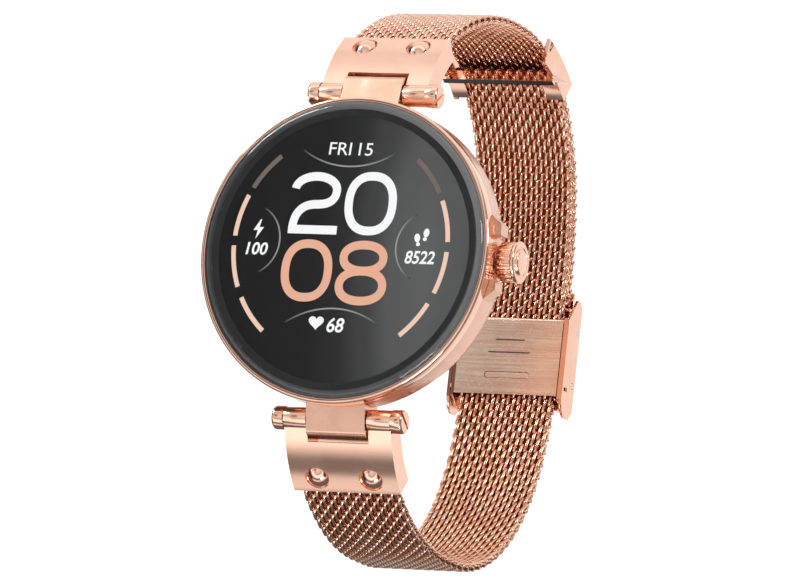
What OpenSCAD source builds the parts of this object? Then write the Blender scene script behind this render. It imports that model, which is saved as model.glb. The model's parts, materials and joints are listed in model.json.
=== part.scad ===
// Round smartwatch on a woven mesh strap with a sliding fold-over clasp.
// Frame: origin at the middle of the sensor window on the case back, +Z out of
// the dial, +Y towards 12 o'clock, +X towards the crown. Millimetres.

/* [Case] */
// Outer diameter of the case side
case_d = 39.8; // [37:0.2:48]
// How far the case side draws in at its foot, on the radius
case_draw_in = 1.7; // [1:0.1:2]
// Wall between the cavity and the outer side
case_wall = 2.3; // [2:0.1:3]
// Height of the foot of the case side
case_foot_z = 1.0; // [0.9:0.1:1.5]
// Height where the side becomes upright
case_shoulder_z = 5.2; // [3:0.1:7]
// Height of the top edge of the case side
case_top_z = 9.3; // [9:0.1:11]
// Width of the inner ledge that carries the inner frame
ledge_w = 2.0; // [1.5:0.1:2.4]
// Thickness of that ledge
ledge_t = 1.0; // [0.8:0.1:1.4]

/* [Bezel and glass] */
// Dark line between the case and the bezel ring
bezel_gap = 0.12; // [0.1:0.01:0.3]
// Height of the bezel ring above that line
bezel_h = 0.8; // [0.7:0.05:1.4]
// Width of the bezel ring seen from above
bezel_w = 0.6; // [0.5:0.05:1.5]
// Width of the sloping face of the bezel ring
bezel_chamfer = 0.5; // [0.3:0.05:0.5]
// Thickness of the lip under the glass
bezel_lip_t = 0.33; // [0.3:0.01:0.5]
// Depth of the bezel skirt inside the case
bezel_skirt_h = 0.9; // [0.6:0.1:1.2]
// Thickness of the cover glass
glass_t = 0.9; // [0.8:0.05:1.6]
// Upright edge of the cover glass
glass_edge_h = 0.35; // [0.3:0.05:0.6]
// Width of the sloping rim of the glass
glass_bevel_w = 0.7; // [0.4:0.1:1.2]
// Thickness of the adhesive gasket under the glass
gasket_t = 0.15; // [0.1:0.01:0.3]

/* [Inside] */
// Thickness of the display panel
display_t = 1.3; // [1:0.1:1.6]
// Wall of the inner frame
frame_wall = 1.2; // [1:0.1:1.6]
// Thickness of the floor flange of the inner frame
frame_floor_t = 0.75; // [0.6:0.05:1]
// Thickness of the main board
board_t = 0.8; // [0.6:0.1:1]
// Height of the main board's lower face
board_z = 7.0; // [6.9:0.1:7.1]
// Tallest chip under the main board
chip_h = 0.8; // [0.5:0.1:0.8]
// Length of the battery along Y
battery_l = 21; // [16:0.5:22]
// Width of the battery along X
battery_w = 19; // [14:0.5:19]
// Thickness of the battery
battery_t = 2.3; // [1.8:0.1:2.4]
// Diameter of the vibration motor
motor_d = 7; // [5:0.5:7]
// Thickness of the vibration motor
motor_t = 2.2; // [1.6:0.1:2.3]

/* [Back] */
// Thickness of the back cover
back_t = 1.2; // [1:0.1:1.2]
// Diameter of the raised sensor island
island_d = 17.2; // [15:0.2:20]
// Diameter of the clear sensor window
window_d = 12; // [9:0.5:13]
// Thickness of the sensor window
window_t = 0.9; // [0.6:0.1:0.9]
// Distance of the back screws in from the case side
back_screw_in = 6; // [5.7:0.1:6.3]
// Distance between the two charging contacts
contact_pitch = 4; // [3:0.5:8]

/* [Crown] */
// Height of the crown axis
crown_z = 5.0; // [4.8:0.1:5.2]
// Diameter of the fluted crown
crown_d = 5.2; // [4.6:0.1:5.6]
// Length of the fluted crown
crown_l = 2.3; // [2.1:0.05:3.5]
// Number of flutes
crown_flutes = 20; // [12:1:28]
// Diameter of the crown stem
stem_d = 1.8; // [1.4:0.1:1.8]
// Travel of the crown when it is pressed
crown_travel = 0.35; // [0.2:0.05:0.4]
// Outer diameter of the crown tube
crown_tube_d = 3.2; // [3:0.1:3.4]

/* [Lugs and brackets] */
// Distance from the case side to the strap pin axis
lug_reach = 1.3; // [1.3:0.1:2.5]
// Height of the strap pin axis
lug_z = 5.4; // [5:0.1:6]
// Width of the middle lug
lug_w = 8.2; // [6:0.1:9]
// Thickness of the middle lug at the pin
lug_t = 4.0; // [3.4:0.1:4.2]
// Slope of the middle lug's top, in degrees
lug_slope = 15; // [5:1:20]
// Radius of the rounded corners at the lug's end
lug_round = 0.8; // [0.4:0.1:1]
// Diameter of the strap pin
pin_d = 1.5; // [1.2:0.1:1.8]
// Diameter of the pin's screw heads
pin_head_d = 3.1; // [2.6:0.1:3.4]
// Thickness of the pin's screw heads
pin_head_t = 1.6; // [1.2:0.1:2]
// Width of a strap bracket
bracket_w = 14.84; // [14.6:0.02:16]
// Thickness of a strap bracket
bracket_t = 3.0; // [2.8:0.1:3.2]
// Radius of the bracket's curved outer face
bracket_bend_r = 19; // [17:0.5:22]
// Sweep of the bracket from the pin to its far end
bracket_sweep = 30.5; // [28:0.5:34]
// Diameter of the bracket's knuckles
knuckle_d = 2.9; // [2.7:0.1:3]
// Distance between the two rivets
rivet_pitch = 7.5; // [6:0.1:9]
// Diameter of a rivet head
rivet_head_d = 3.1; // [2.4:0.1:3.4]

/* [Mesh strap] */
// Width of the mesh
strap_w = 14; // [11.6:0.2:14.4]
// Thickness of the mesh
strap_t = 1.3; // [1.1:0.02:1.6]
// Depth of the strap loop below the case back, to the middle of the outer layer
loop_depth = 49.15; // [48:0.05:60]
// Upper bend radius of the 12 o'clock strap
top_bend_upper_r = 37; // [30:1:40]
// Lower bend radius of the 12 o'clock strap
top_bend_lower_r = 23; // [20:1:24]
// Bend radius of the 12 o'clock strap next to the clasp
top_bend_last_r = 55; // [45:1:60]
// Angle of that last bend
top_bend_last_a = 14; // [10:1:16]
// Upper bend radius of the 6 o'clock strap
bottom_bend_upper_r = 28; // [24:1:32]
// Lower bend radius of the 6 o'clock strap
bottom_bend_lower_r = 26; // [22:1:28]
// Bend radius of the 6 o'clock strap next to the clasp
bottom_bend_last_r = 45; // [40:1:50]
// Angle of that last bend
bottom_bend_last_a = 16; // [10:1:18]
// Angle of the strap's tail, up the inside of the 12 o'clock strap
tail_sweep = 52; // [40:1:56]

/* [Clasp] */
// Space between the two strap layers
layer_gap = 0.1; // [0.1:0.01:0.2]
// Thickness of the clasp's sheet metal
clasp_sheet_t = 0.45; // [0.4:0.01:0.5]
// Thickness of the cover's ears
ear_t = 0.35; // [0.3:0.05:0.5]
// Diameter of the clasp bar and of the cover's pivot pin
clasp_pin_d = 0.8; // [0.7:0.05:0.85]
// Thickness of the lock plate
lock_plate_t = 0.6; // [0.5:0.05:0.7]
// Length of the slot in the lock plate
lock_slot_l = 6.5; // [5:0.5:8]
// Place of the clasp bar along Y
clasp_bar_y = 1.0; // [0.8:0.1:1.4]
// Distance from the clasp bar to the cover's pivot
clasp_pin_span = 7.0; // [6.6:0.1:8]

/* [Fits] */
// Radial clearance of the strap pins in the brackets and of the clasp pins
hinge_clear = 0.05; // [0.03:0.01:0.08]
// Radial clearance of the crown stem in its tube
stem_clear = 0.05; // [0.03:0.01:0.08]
// Radial clearance of pieces that are seated and fixed
seat_clear = 0.03; // [0.01:0.01:0.05]
// Side clearance between pieces that move past each other
side_clear = 0.08; // [0.05:0.01:0.12]

/* [Hidden] */
$fn = 96;

ROSE = [0.91, 0.66, 0.53];
BRUSHED = [0.93, 0.74, 0.62];
MESH = [0.82, 0.55, 0.42];
BLACK = [0.1, 0.1, 0.1];
STEEL = [0.72, 0.72, 0.74];
CIRCUIT = [0.1, 0.35, 0.22];
over = 1;                // how far a cutting body runs past the face it cuts
chord = 1.2;             // longest flat on a bend of the mesh ribbon

// Case, from the side wall inwards
case_r = case_d / 2;
back_screw_r = case_r - back_screw_in;
foot_r = case_r - case_draw_in;
cavity_r = case_r - case_wall;
ledge_r = cavity_r - ledge_w;
cover_r = ledge_r + 0.8;                    // back cover's rim overlaps the ledge
ledge_z = case_foot_z + 1.0;
ledge_top_z = ledge_z + ledge_t;

// Bezel and glass, upwards from the case
bezel_r = case_r + 0.05;
bezel_z = case_top_z + bezel_gap;
bezel_top_z = bezel_z + bezel_h;
bezel_in_r = bezel_r - bezel_w;
skirt_r = case_r - 1.0;
skirt_in_r = skirt_r - 0.6;
skirt_z = case_top_z - bezel_skirt_h;
glass_seat_z = bezel_z + bezel_lip_t;
glass_r = bezel_in_r - hinge_clear;
glass_z = glass_seat_z + gasket_t;
glass_top_z = glass_z + glass_t;

// Inside, between the ledge and the glass
display_r = cavity_r - 0.2;
display_top_z = glass_z - 0.02;
display_z = display_top_z - display_t;
frame_r = cavity_r - 0.2;
frame_in_r = frame_r - frame_wall;
frame_top_z = display_z - 0.05;
floor_in_r = frame_in_r - 3.6;
floor_top_z = ledge_top_z + frame_floor_t;
board_r = frame_in_r - 0.2;
shelf_in_r = frame_in_r - 1.4;
shelf_z = board_z - 0.8;
board_screw_r = frame_in_r - 0.9;
board_screw_angles = [80, 200, 320];
battery_x = -12;
motor_x = battery_x + battery_w + 0.1 + motor_d / 2;
motor_y = -6.6;

// Back
cover_z = case_foot_z - 0.2;
cover_top_z = cover_z + back_t;
spigot_r = ledge_r - 0.5;
spigot_in_r = back_screw_r - 1.5;
spigot_top_z = ledge_top_z - 0.05;
window_r = window_d / 2;
screw_head_r = 0.95;
screw_r = 0.45;
contact_y = -(island_d / 2 + 1.9);

// Crown, outwards along X
spot_x = case_r - 0.6;
crown_x = spot_x + crown_travel + 0.1;
crown_r = crown_d / 2;
crown_end_x = crown_x + crown_l;
stem_r = stem_d / 2;
tube_r = crown_tube_d / 2;
tube_x = cavity_r - 2.05;
tube_bore_r = stem_r + stem_clear;
clip_r = 1.5;
clip_t = 0.3;
stem_x = tube_x - 2.6;
plunger_r = 0.8;
plunger_l = 1.7;
switch_x = stem_x - 3.95;
switch_l = 2.8;

// Strap pins, brackets and the strap loop, all in the plane across X
pin_y = case_r + lug_reach;
pin_r = pin_d / 2;
pin_head_x = bracket_w / 2 + hinge_clear;
pin_at = [pin_y, lug_z];
pin_depth = 1.02;                           // pin axis below the bracket's outer face
pin_angle = 70.5;                           // direction from the bend's centre to the pin
bend_at = pin_at - (bracket_bend_r - pin_depth) * [cos(pin_angle), sin(pin_angle)];
bracket_end_a = pin_angle - bracket_sweep;
strap_mid_r = bracket_bend_r - 0.44 - strap_t / 2;
strap_start_a = bracket_end_a - 4;
slot_end_a = bracket_end_a + 12;
rivet_a = bracket_end_a + 6.4;
notch_r = lug_t / 2 + 1.0;
rivet_r = 0.6;

// Strap paths: [radius, angle] for a bend to the right, [0, length] for a straight run
strap_start = bend_at + strap_mid_r * [cos(strap_start_a), sin(strap_start_a)];
strap_heading = strap_start_a - 90;
layer_pitch = strap_t + layer_gap;
top_lower_a = 90 - top_bend_last_a;
bottom_lower_a = 90 - bottom_bend_last_a;
top_side_l = side_run(top_bend_upper_r, top_bend_lower_r, top_bend_last_r, top_bend_last_a,
    loop_depth);
bottom_side_l = side_run(bottom_bend_upper_r, bottom_bend_lower_r, bottom_bend_last_r,
    bottom_bend_last_a, loop_depth - layer_pitch);
slot_run = [strap_mid_r, slot_end_a - strap_start_a];
slot_start = bend_at + strap_mid_r * [cos(slot_end_a), sin(slot_end_a)];
top_bends = [slot_run, [top_bend_upper_r, 90 + strap_heading], [0, top_side_l],
    [top_bend_lower_r, top_lower_a], [top_bend_last_r, top_bend_last_a]];
bottom_bends = [slot_run, [bottom_bend_upper_r, 90 + strap_heading], [0, bottom_side_l],
    [bottom_bend_lower_r, bottom_lower_a], [bottom_bend_last_r, bottom_bend_last_a]];
top_flat_y = walk(slot_start, slot_end_a - 90, top_bends)[0];
bottom_flat_y = -walk(slot_start, slot_end_a - 90, bottom_bends)[0];
top_lower_at = walk(slot_start, slot_end_a - 90, [for (i = [0:2]) top_bends[i]])
    - [top_bend_lower_r, 0];
tail_end_a = top_lower_a - tail_sweep;      // tail's end, below the horizontal

// Clasp, outwards through the layers (heights fall from the wrist outwards)
outer_z = -loop_depth;
inner_z = outer_z + layer_pitch;
mesh_in_z = inner_z + strap_t / 2;          // inner face of the inner layer
mesh_out_z = inner_z - strap_t / 2;         // its outer face
base_z = mesh_out_z - 0.1;                  // inner face of the clasp's base
base_out_z = base_z - clasp_sheet_t;
clasp_pin_r = clasp_pin_d / 2;
clasp_pin_z = base_out_z - clasp_pin_r - 0.05;
cover_in_z = clasp_pin_z - clasp_pin_r - 0.05;
cover_out_z = cover_in_z - 0.4;
cover_pin_y = clasp_bar_y - clasp_pin_span;
lock_z = mesh_in_z + 0.1;
lock_in_z = lock_z + lock_plate_t;
lock_pin_y = clasp_bar_y + 1.15;
lock_pin_z = mesh_in_z + 0.38;
lock_pin_r = 0.18;
lock_barrel_r = 0.32;
lock_end_y = cover_pin_y - 1.9;
hook_y = clasp_bar_y + 3.4;                 // end of the 12 o'clock mesh
frame_half_w = strap_w / 2 + 0.85;
frame_wall_t = 0.4;
ear_in_x = frame_half_w + side_clear;
ear_out_x = ear_in_x + ear_t;
lock_half_w = frame_half_w - frame_wall_t - side_clear;

// Upright side length that is left when the bends reach the given depth
function side_run(r1, r2, r3, a3, depth) = strap_start[1] + depth
    - r1 * sin(strap_start_a) - bend_drop(r2, r3, a3);

// Drop of the two lower bends, from upright to level
function bend_drop(r2, r3, a3) = r2 * cos(a3) + r3 * (1 - cos(a3));

// End point of a path from p with heading h
function walk(p, h, runs, i = 0) = i == len(runs) ? p
    : runs[i][0] == 0
    ? walk(p + runs[i][1] * [cos(h), sin(h)], h, runs, i + 1)
    : walk(bend_centre(p, h, runs[i][0]) - runs[i][0] * [sin(h - runs[i][1]), -cos(h - runs[i][1])],
        h - runs[i][1], runs, i + 1);
function bend_centre(p, h, r) = p + r * [sin(h), -cos(h)];

// Points along a path at a distance off to its left
function side(p, h, runs, off, i = 0) = i == len(runs) ? [p + off * [-sin(h), cos(h)]]
    : concat(run_points(p, h, runs[i], off),
        side(walk(p, h, [runs[i]]), runs[i][0] == 0 ? h : h - runs[i][1], runs, off, i + 1));
function run_points(p, h, run, off) = run[0] == 0 ? [p + off * [-sin(h), cos(h)]]
    : [for (k = [0:flats(run) - 1]) let (a = h - run[1] * k / flats(run))
        bend_centre(p, h, run[0]) + (run[0] + off) * [-sin(a), cos(a)]];
function flats(run) = ceil(run[0] * run[1] * PI / 180 / chord);
function turned(list) = [for (k = [len(list) - 1:-1:0]) list[k]];

// Turns a drawing in the Y-Z plane into a body of width w centred on X
module across(w) rotate([90, 0, 90]) translate([0, 0, -w / 2]) linear_extrude(w) children();

module disc(r, z0, z1) translate([0, 0, z0]) cylinder(r = r, h = z1 - z0);

module ring(r_out, r_in, z0, z1) difference() {
    disc(r_out, z0, z1);
    disc(r_in, z0 - over, z1 + over);
}

module block(low, high) translate(low) cube(high - low);

// Cylinder along X from x0 to x1
module rod(r, x0, x1, y, z) translate([x0, y, z]) rotate([0, 90, 0]) cylinder(r = r, h = x1 - x0);

// Cylinder along X, the same on both sides of the middle
module bar(r, half, at) rod(r, -half, half, at[0], at[1]);

// Mesh ribbon along a path in the Y-Z plane
module ribbon(p, h, runs) across(strap_w) polygon(concat(
    side(p, h, runs, strap_t / 2), turned(side(p, h, runs, -strap_t / 2))));

// Places a child on the bracket's bend: its Z runs outwards at angle a, radius r
module on_bend(a, r) translate([0, bend_at[0], bend_at[1]]) rotate([a - 90, 0, 0])
    translate([0, 0, r]) children();

module at_each_rivet() for (s = [-1, 1]) translate([s * rivet_pitch / 2, 0, 0])
    on_bend(rivet_a, bracket_bend_r) children();

// Middle lug in profile: a sloping top and two rounded corners past the pin
module lug() across(lug_w) {
    low = lug_z - lug_t / 2 + lug_round;
    high = lug_z + 0.4;
    end_y = pin_y + lug_t / 2 - 0.5;
    top_y = end_y + lug_round * sin(lug_slope);
    top_z = high + lug_round * cos(lug_slope);
    union() {
        for (z = [low, high]) translate([end_y, z]) circle(r = lug_round);
        polygon([[cavity_r, low - lug_round], [end_y, low - lug_round], [end_y + lug_round, low],
            [end_y + lug_round, high], [top_y, top_z],
            [cavity_r, top_z + (top_y - cavity_r) * tan(lug_slope)]]);
    }
}

// Shoulder beside the crown, seen from above
module crown_guard() translate([0, 0, 6]) linear_extrude(2.3) polygon([
    [cavity_r, crown_r + 0.3], [case_r + 0.78, crown_r + 0.3], [case_r + 0.78, crown_r + 1.65],
    [case_r - 0.9, crown_r + 3], [cavity_r, crown_r + 3]]);

module case_shell() color(ROSE) difference() {
    union() {
        rotate_extrude() polygon([[0, case_foot_z], [foot_r, case_foot_z],
            [case_r, case_shoulder_z], [case_r, case_top_z], [0, case_top_z]]);
        lug();
        mirror([0, 1, 0]) lug();
        crown_guard();
        mirror([0, 1, 0]) crown_guard();
    }
    disc(cavity_r, ledge_top_z, case_top_z + over);
    disc(ledge_r, case_foot_z - over, ledge_top_z + over);
    disc(cover_r + hinge_clear, case_foot_z - over, ledge_z);
    disc(skirt_r + hinge_clear, skirt_z, case_top_z + over);
    rod(tube_r + seat_clear, cavity_r - over, spot_x + over, 0, crown_z);
    rod(crown_r + 0.4, spot_x, case_r + 3, 0, crown_z);
    bar(pin_r + seat_clear, lug_w, pin_at);
    mirror([0, 1, 0]) bar(pin_r + seat_clear, lug_w, pin_at);
}

module bezel_ring() color(ROSE) rotate_extrude() polygon([
    [skirt_in_r, skirt_z], [skirt_r, skirt_z], [skirt_r, bezel_z], [bezel_r, bezel_z],
    [bezel_r, bezel_z + 0.12], [bezel_r - bezel_chamfer, bezel_top_z],
    [bezel_in_r, bezel_top_z], [bezel_in_r, glass_seat_z], [skirt_in_r, glass_seat_z]]);

module cover_glass() color(BLACK) rotate_extrude() polygon([
    [0, glass_z], [glass_r, glass_z], [glass_r, glass_z + glass_edge_h],
    [glass_r - glass_bevel_w, glass_top_z], [0, glass_top_z]]);

module glass_gasket() color(BLACK)
    ring(glass_r - 0.1, skirt_in_r + 0.1, glass_seat_z, glass_z);

module display_panel() color(BLACK) disc(display_r, display_z, display_top_z);

// Ribbon cable that folds from the display down to the main board
module display_flex() color("sienna") {
    flex_t = 0.15;
    fold_r = (display_z - board_z - board_t) / 2;
    across(6) translate([frame_in_r - 2.6, board_z + board_t + fold_r]) {
        intersection() {
            difference() {
                circle(r = fold_r);
                circle(r = fold_r - flex_t);
            }
            translate([0, -fold_r]) square([fold_r, 2 * fold_r]);
        }
        translate([-5, fold_r - flex_t]) square([5, flex_t]);
        translate([-3, -fold_r]) square([3, flex_t]);
    }
}

module at_each_board_screw() for (a = board_screw_angles) rotate(a)
    translate([board_screw_r, 0, 0]) children();

module at_each_back_screw() for (a = [45:90:315]) rotate(a)
    translate([back_screw_r, 0, 0]) children();

module inner_frame() color(STEEL) difference() {
    union() {
        ring(frame_r, frame_in_r, ledge_top_z, frame_top_z);
        ring(frame_in_r + 0.1, floor_in_r, ledge_top_z, floor_top_z);
        ring(frame_in_r + 0.1, shelf_in_r, shelf_z, board_z);
    }
    block([stem_x - 1, -tube_r - 0.3, crown_z - tube_r - 0.1],
        [frame_r + over, tube_r + 0.3, crown_z + tube_r + 0.15]);
    at_each_board_screw() disc(0.42, shelf_z - over, board_z + over);
    at_each_back_screw() disc(screw_r + 0.01, ledge_top_z - over, floor_top_z + over);
}

module main_board() color(CIRCUIT) difference() {
    disc(board_r, board_z, board_z + board_t);
    at_each_board_screw() disc(0.5, board_z - over, board_z + board_t + over);
}

// Chips on the underside: [x, y, length, width, height]
module board_chips() color(BLACK) {
    for (c = [[-3.5, 3, 7, 7, 1], [4, 6.5, 5, 4, 0.8], [-10, -3, 4, 4, 0.7],
            [-2, -7.5, 6, 3.5, 0.9], [4, -2, 3, 3, 0.6], [-8, 9, 3, 2, 0.7]])
        block([c[0] - c[2] / 2, c[1] - c[3] / 2, board_z - chip_h * c[4]],
            [c[0] + c[2] / 2, c[1] + c[3] / 2, board_z]);
}

module board_screws() color(STEEL) at_each_board_screw() difference() {
    union() {
        disc(0.4, shelf_z + 0.1, board_z + board_t);
        disc(0.65, board_z + board_t, board_z + board_t + 0.4);
    }
    block([-0.5, -0.1, board_z + board_t + 0.2], [0.5, 0.1, board_z + board_t + over]);
    block([-0.1, -0.5, board_z + board_t + 0.2], [0.1, 0.5, board_z + board_t + over]);
}

module battery() color("silver")
    block([battery_x, -battery_l / 2, floor_top_z],
        [battery_x + battery_w, battery_l / 2, floor_top_z + battery_t]);

module vibration_motor() color(STEEL) translate([motor_x, motor_y, 0]) {
    disc(motor_d / 2, floor_top_z, floor_top_z + motor_t - 0.2);
    disc(motor_d / 2 - 1.6, floor_top_z + motor_t - 0.2, floor_top_z + motor_t);
}

module back_cover() color(ROSE) difference() {
    union() {
        disc(island_d / 2, 0, cover_z + 0.1);
        disc(cover_r, cover_z, cover_top_z);
        ring(spigot_r, spigot_in_r, cover_top_z - 0.1, spigot_top_z);
    }
    disc(window_r + hinge_clear, -over, window_t);
    disc(window_r - 0.4, 0, cover_top_z + over);
    disc(window_r + 0.9, window_t + 0.3, cover_top_z + over);
    at_each_back_screw() disc(screw_r + 0.08, 0, spigot_top_z + over);
    at_each_back_screw() disc(screw_head_r + 0.08, 0, cover_z + 0.55);
    for (s = [-1, 1]) translate([s * contact_pitch / 2, contact_y, 0])
        disc(1 + seat_clear, 0, cover_top_z + over);
}

module back_seal() color(BLACK)
    ring(ledge_r - 0.02, spigot_r + 0.02, cover_top_z + 0.2, ledge_top_z - 0.1);

module back_screws() color(STEEL) at_each_back_screw() difference() {
    union() {
        disc(screw_head_r, cover_z + 0.05, cover_z + 0.55);
        disc(screw_r, cover_z + 0.5, floor_top_z - 0.05);
    }
    block([-0.6, -0.13, cover_z - over], [0.6, 0.13, cover_z + 0.3]);
    block([-0.13, -0.6, cover_z - over], [0.13, 0.6, cover_z + 0.3]);
}

module sensor_window() color(BLACK) disc(window_r, 0, window_t);

module sensor_board() color(CIRCUIT) disc(window_r + 1.5, cover_top_z, cover_top_z + 0.8);

module sensor_leds() color("white") {
    for (a = [0:90:270]) rotate(a)
        block([2.2, -0.8, cover_top_z - 0.7], [3.4, 0.8, cover_top_z]);
    block([-1.1, -1.1, cover_top_z - 0.6], [1.1, 1.1, cover_top_z]);
}

module charge_contacts() color("gold") for (s = [-1, 1])
    translate([s * contact_pitch / 2, contact_y, 0]) {
        disc(1, cover_z - 0.1, cover_top_z + 0.05);
        disc(1.4, cover_top_z, cover_top_z + 0.3);
    }

module crown_tube() color(STEEL) difference() {
    rod(tube_r, tube_x, spot_x, 0, crown_z);
    rod(tube_bore_r, tube_x - over, spot_x + over, 0, crown_z);
    rod(tube_r - 0.3, tube_x + 1.55, tube_x + 2.45, 0, crown_z);
}

module crown_seal() color(BLACK) difference() {
    rod(tube_r - 0.31, tube_x + 1.6, tube_x + 2.4, 0, crown_z);
    rod(stem_r + 0.03, tube_x, spot_x, 0, crown_z);
}

module crown_switch() color(BLACK) difference() {
    block([switch_x, -2, crown_z - 1.2], [switch_x + switch_l, 2, board_z]);
    rod(plunger_r + stem_clear, switch_x + 1.4, switch_x + switch_l + over, 0, crown_z);
}

module crown_plunger() color("white")
    rod(plunger_r, stem_x - 0.05 - plunger_l, stem_x - 0.05, 0, crown_z);

module crown_stem() color(STEEL) rod(stem_r, stem_x, crown_x + 0.85, 0, crown_z);

module crown_clip() color(STEEL) difference() {
    rod(clip_r, tube_x - 0.05 - clip_t, tube_x - 0.05, 0, crown_z);
    rod(stem_r + 0.01, tube_x - 2, tube_x + over, 0, crown_z);
}

module crown_knob() color(ROSE) difference() {
    union() {
        rod(crown_r, crown_x + 0.3, crown_end_x - 0.2, 0, crown_z);
        rod(crown_r - 0.3, crown_x, crown_end_x, 0, crown_z);
    }
    for (i = [0:crown_flutes - 1]) translate([0, 0, crown_z]) rotate([i * 360 / crown_flutes, 0, 0])
        rod(0.26, crown_x - over, crown_end_x + over, 0, crown_r + 0.04);
    rod(stem_r + 0.01, crown_x - over, crown_x + 0.9, 0, crown_z);
    rod(1.2 + seat_clear, crown_end_x - 0.95, crown_end_x + over, 0, crown_z);
}

// Smooth domed end of the crown, with the peg that holds it in the knob
module crown_cap() color(ROSE) translate([crown_end_x, 0, crown_z]) rotate([0, 90, 0]) {
    dome_r = 6.5;
    cap_r = crown_r + 0.12;
    rim_t = 0.2;
    rotate_extrude() intersection() {
        translate([0, rim_t + 0.6 - dome_r]) circle(r = dome_r);
        square([cap_r, rim_t + over]);
    }
    translate([0, 0, -0.9]) cylinder(r = 1.2, h = 1);
}

module strap_pin() difference() {
    bar(pin_r, pin_head_x, pin_at);
    for (s = [0, 1]) mirror([s, 0, 0])
        rod(0.46, pin_head_x - 3.5, pin_head_x + over, pin_at[0], pin_at[1]);
}

module pin_top() color(STEEL) strap_pin();

module pin_bottom() color(STEEL) mirror([0, 1, 0]) strap_pin();

// Screw with a rounded, slotted head, one at each end of a strap pin
module strap_pin_screws() for (s = [0, 1]) mirror([s, 0, 0])
    translate([pin_head_x, pin_at[0], pin_at[1]]) rotate([0, 90, 0]) difference() {
        union() {
            rotate_extrude() union() {
                square([pin_head_d / 2, pin_head_t - 0.4]);
                square([pin_head_d / 2 - 0.4, pin_head_t]);
                translate([pin_head_d / 2 - 0.4, pin_head_t - 0.4]) circle(r = 0.4);
            }
            translate([0, 0, -3.2]) cylinder(r = 0.45, h = 3.3);
        }
        rotate(35) translate([-3, -0.2, pin_head_t - 0.4]) cube([6, 0.4, 2]);
    }

module pin_screws_top() color(ROSE) strap_pin_screws();

module pin_screws_bottom() color(ROSE) mirror([0, 1, 0]) strap_pin_screws();

// Curved strap bracket: a bent band with two knuckles, a notch for the lug and a slot
module strap_bracket() difference() {
    union() {
        rotate([90, 0, 90]) translate(bend_at) rotate(bracket_end_a)
            rotate_extrude(angle = bracket_sweep - 1.5)
            translate([bracket_bend_r - bracket_t, -bracket_w / 2]) square([bracket_t, bracket_w]);
        bar(knuckle_d / 2, bracket_w / 2, pin_at);
    }
    bar(notch_r, lug_w / 2 + 0.16, pin_at);
    bar(pin_r + hinge_clear, bracket_w, pin_at);
    rotate([90, 0, 90]) translate(bend_at) rotate(bracket_end_a - 5)
        rotate_extrude(angle = slot_end_a - bracket_end_a + 5.3)
        translate([strap_mid_r - strap_t / 2 - seat_clear, -strap_w / 2 - seat_clear])
        square([strap_t + 2 * seat_clear, strap_w + 2 * seat_clear]);
    at_each_rivet() {
        translate([0, 0, -bracket_t - over]) cylinder(r = rivet_r + seat_clear, h = bracket_t + 2 * over);
        translate([0, 0, -0.3]) cylinder(r = rivet_head_d / 2 + 0.1, h = over);
    }
}

module bracket_top() color(ROSE) strap_bracket();

module bracket_bottom() color(ROSE) mirror([0, 1, 0]) strap_bracket();

// Domed rivets through the bracket and the mesh
module bracket_rivets() at_each_rivet() {
    dome_h = 0.85;
    dome_r = (rivet_head_d * rivet_head_d / 4 + dome_h * dome_h) / (2 * dome_h);
    translate([0, 0, -0.3]) rotate_extrude() intersection() {
        translate([0, dome_h - dome_r]) circle(r = dome_r);
        square([rivet_head_d, dome_h + over]);
    }
    translate([0, 0, -bracket_t]) cylinder(r = rivet_r, h = bracket_t - 0.2);
}

module rivets_top() color(ROSE) bracket_rivets();

module rivets_bottom() color(ROSE) mirror([0, 1, 0]) bracket_rivets();

module rivet_holes() at_each_rivet() translate([0, 0, -bracket_t - over])
    cylinder(r = rivet_r + seat_clear, h = bracket_t + 2 * over);

// 12 o'clock strap: outer layer, from its bracket round to the hook
module strap_top() color(MESH) difference() {
    ribbon(slot_start, slot_end_a - 90, concat(top_bends, [[0, top_flat_y - hook_y]]));
    rivet_holes();
}

// 6 o'clock strap: through the clasp and up the inside of the other strap
module strap_bottom() color(MESH) mirror([0, 1, 0]) difference() {
    ribbon(slot_start, slot_end_a - 90, concat(bottom_bends, [[0, top_flat_y - bottom_flat_y],
        [top_bend_last_r - layer_pitch, top_bend_last_a],
        [top_bend_lower_r - layer_pitch, tail_sweep]]));
    rivet_holes();
}

// Hook on the end of the 12 o'clock strap: a jaw round the mesh and a nose at the bar
module clasp_hook() color(ROSE) {
    nose_y = clasp_bar_y + clasp_pin_r + 0.2;
    wall_y = hook_y - 0.02;
    jaw_z = outer_z - strap_t / 2 - 0.02;
    across(strap_w + 0.2) {
        translate([nose_y, clasp_pin_z - 0.25]) square([wall_y - nose_y, 0.45]);
        translate([wall_y - 0.45, jaw_z - 0.33]) square([0.45, strap_t + 0.2]);
        translate([wall_y - 0.45, jaw_z - 0.33]) square([2.7, 0.33]);
    }
}

// Clasp body: a base under the inner layer, side walls, and a block round the pivot
module clasp_frame() color(ROSE) difference() {
    union() {
        block([-frame_half_w, lock_end_y - 1.6, base_out_z], [frame_half_w, lock_pin_y + 0.5, base_z]);
        for (s = [0, 1]) mirror([s, 0, 0]) translate([frame_half_w - frame_wall_t / 2, 0, 0])
            across(frame_wall_t) polygon([[lock_end_y - 0.3, lock_in_z - 0.1],
                [lock_pin_y + 0.5, lock_in_z - 0.1], [lock_pin_y + 0.5, base_out_z],
                [lock_end_y - 1.6, base_out_z], [lock_end_y - 1.6, base_z + 0.6]]);
        block([-frame_half_w, lock_end_y - 1.6, clasp_pin_z - 0.7],
            [frame_half_w, cover_pin_y + 0.75, base_out_z + 0.1]);
    }
    bar(clasp_pin_r + seat_clear, ear_out_x, [cover_pin_y, clasp_pin_z]);
    bar(lock_pin_r + 0.01, ear_out_x, [lock_pin_y, lock_pin_z]);
}

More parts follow.
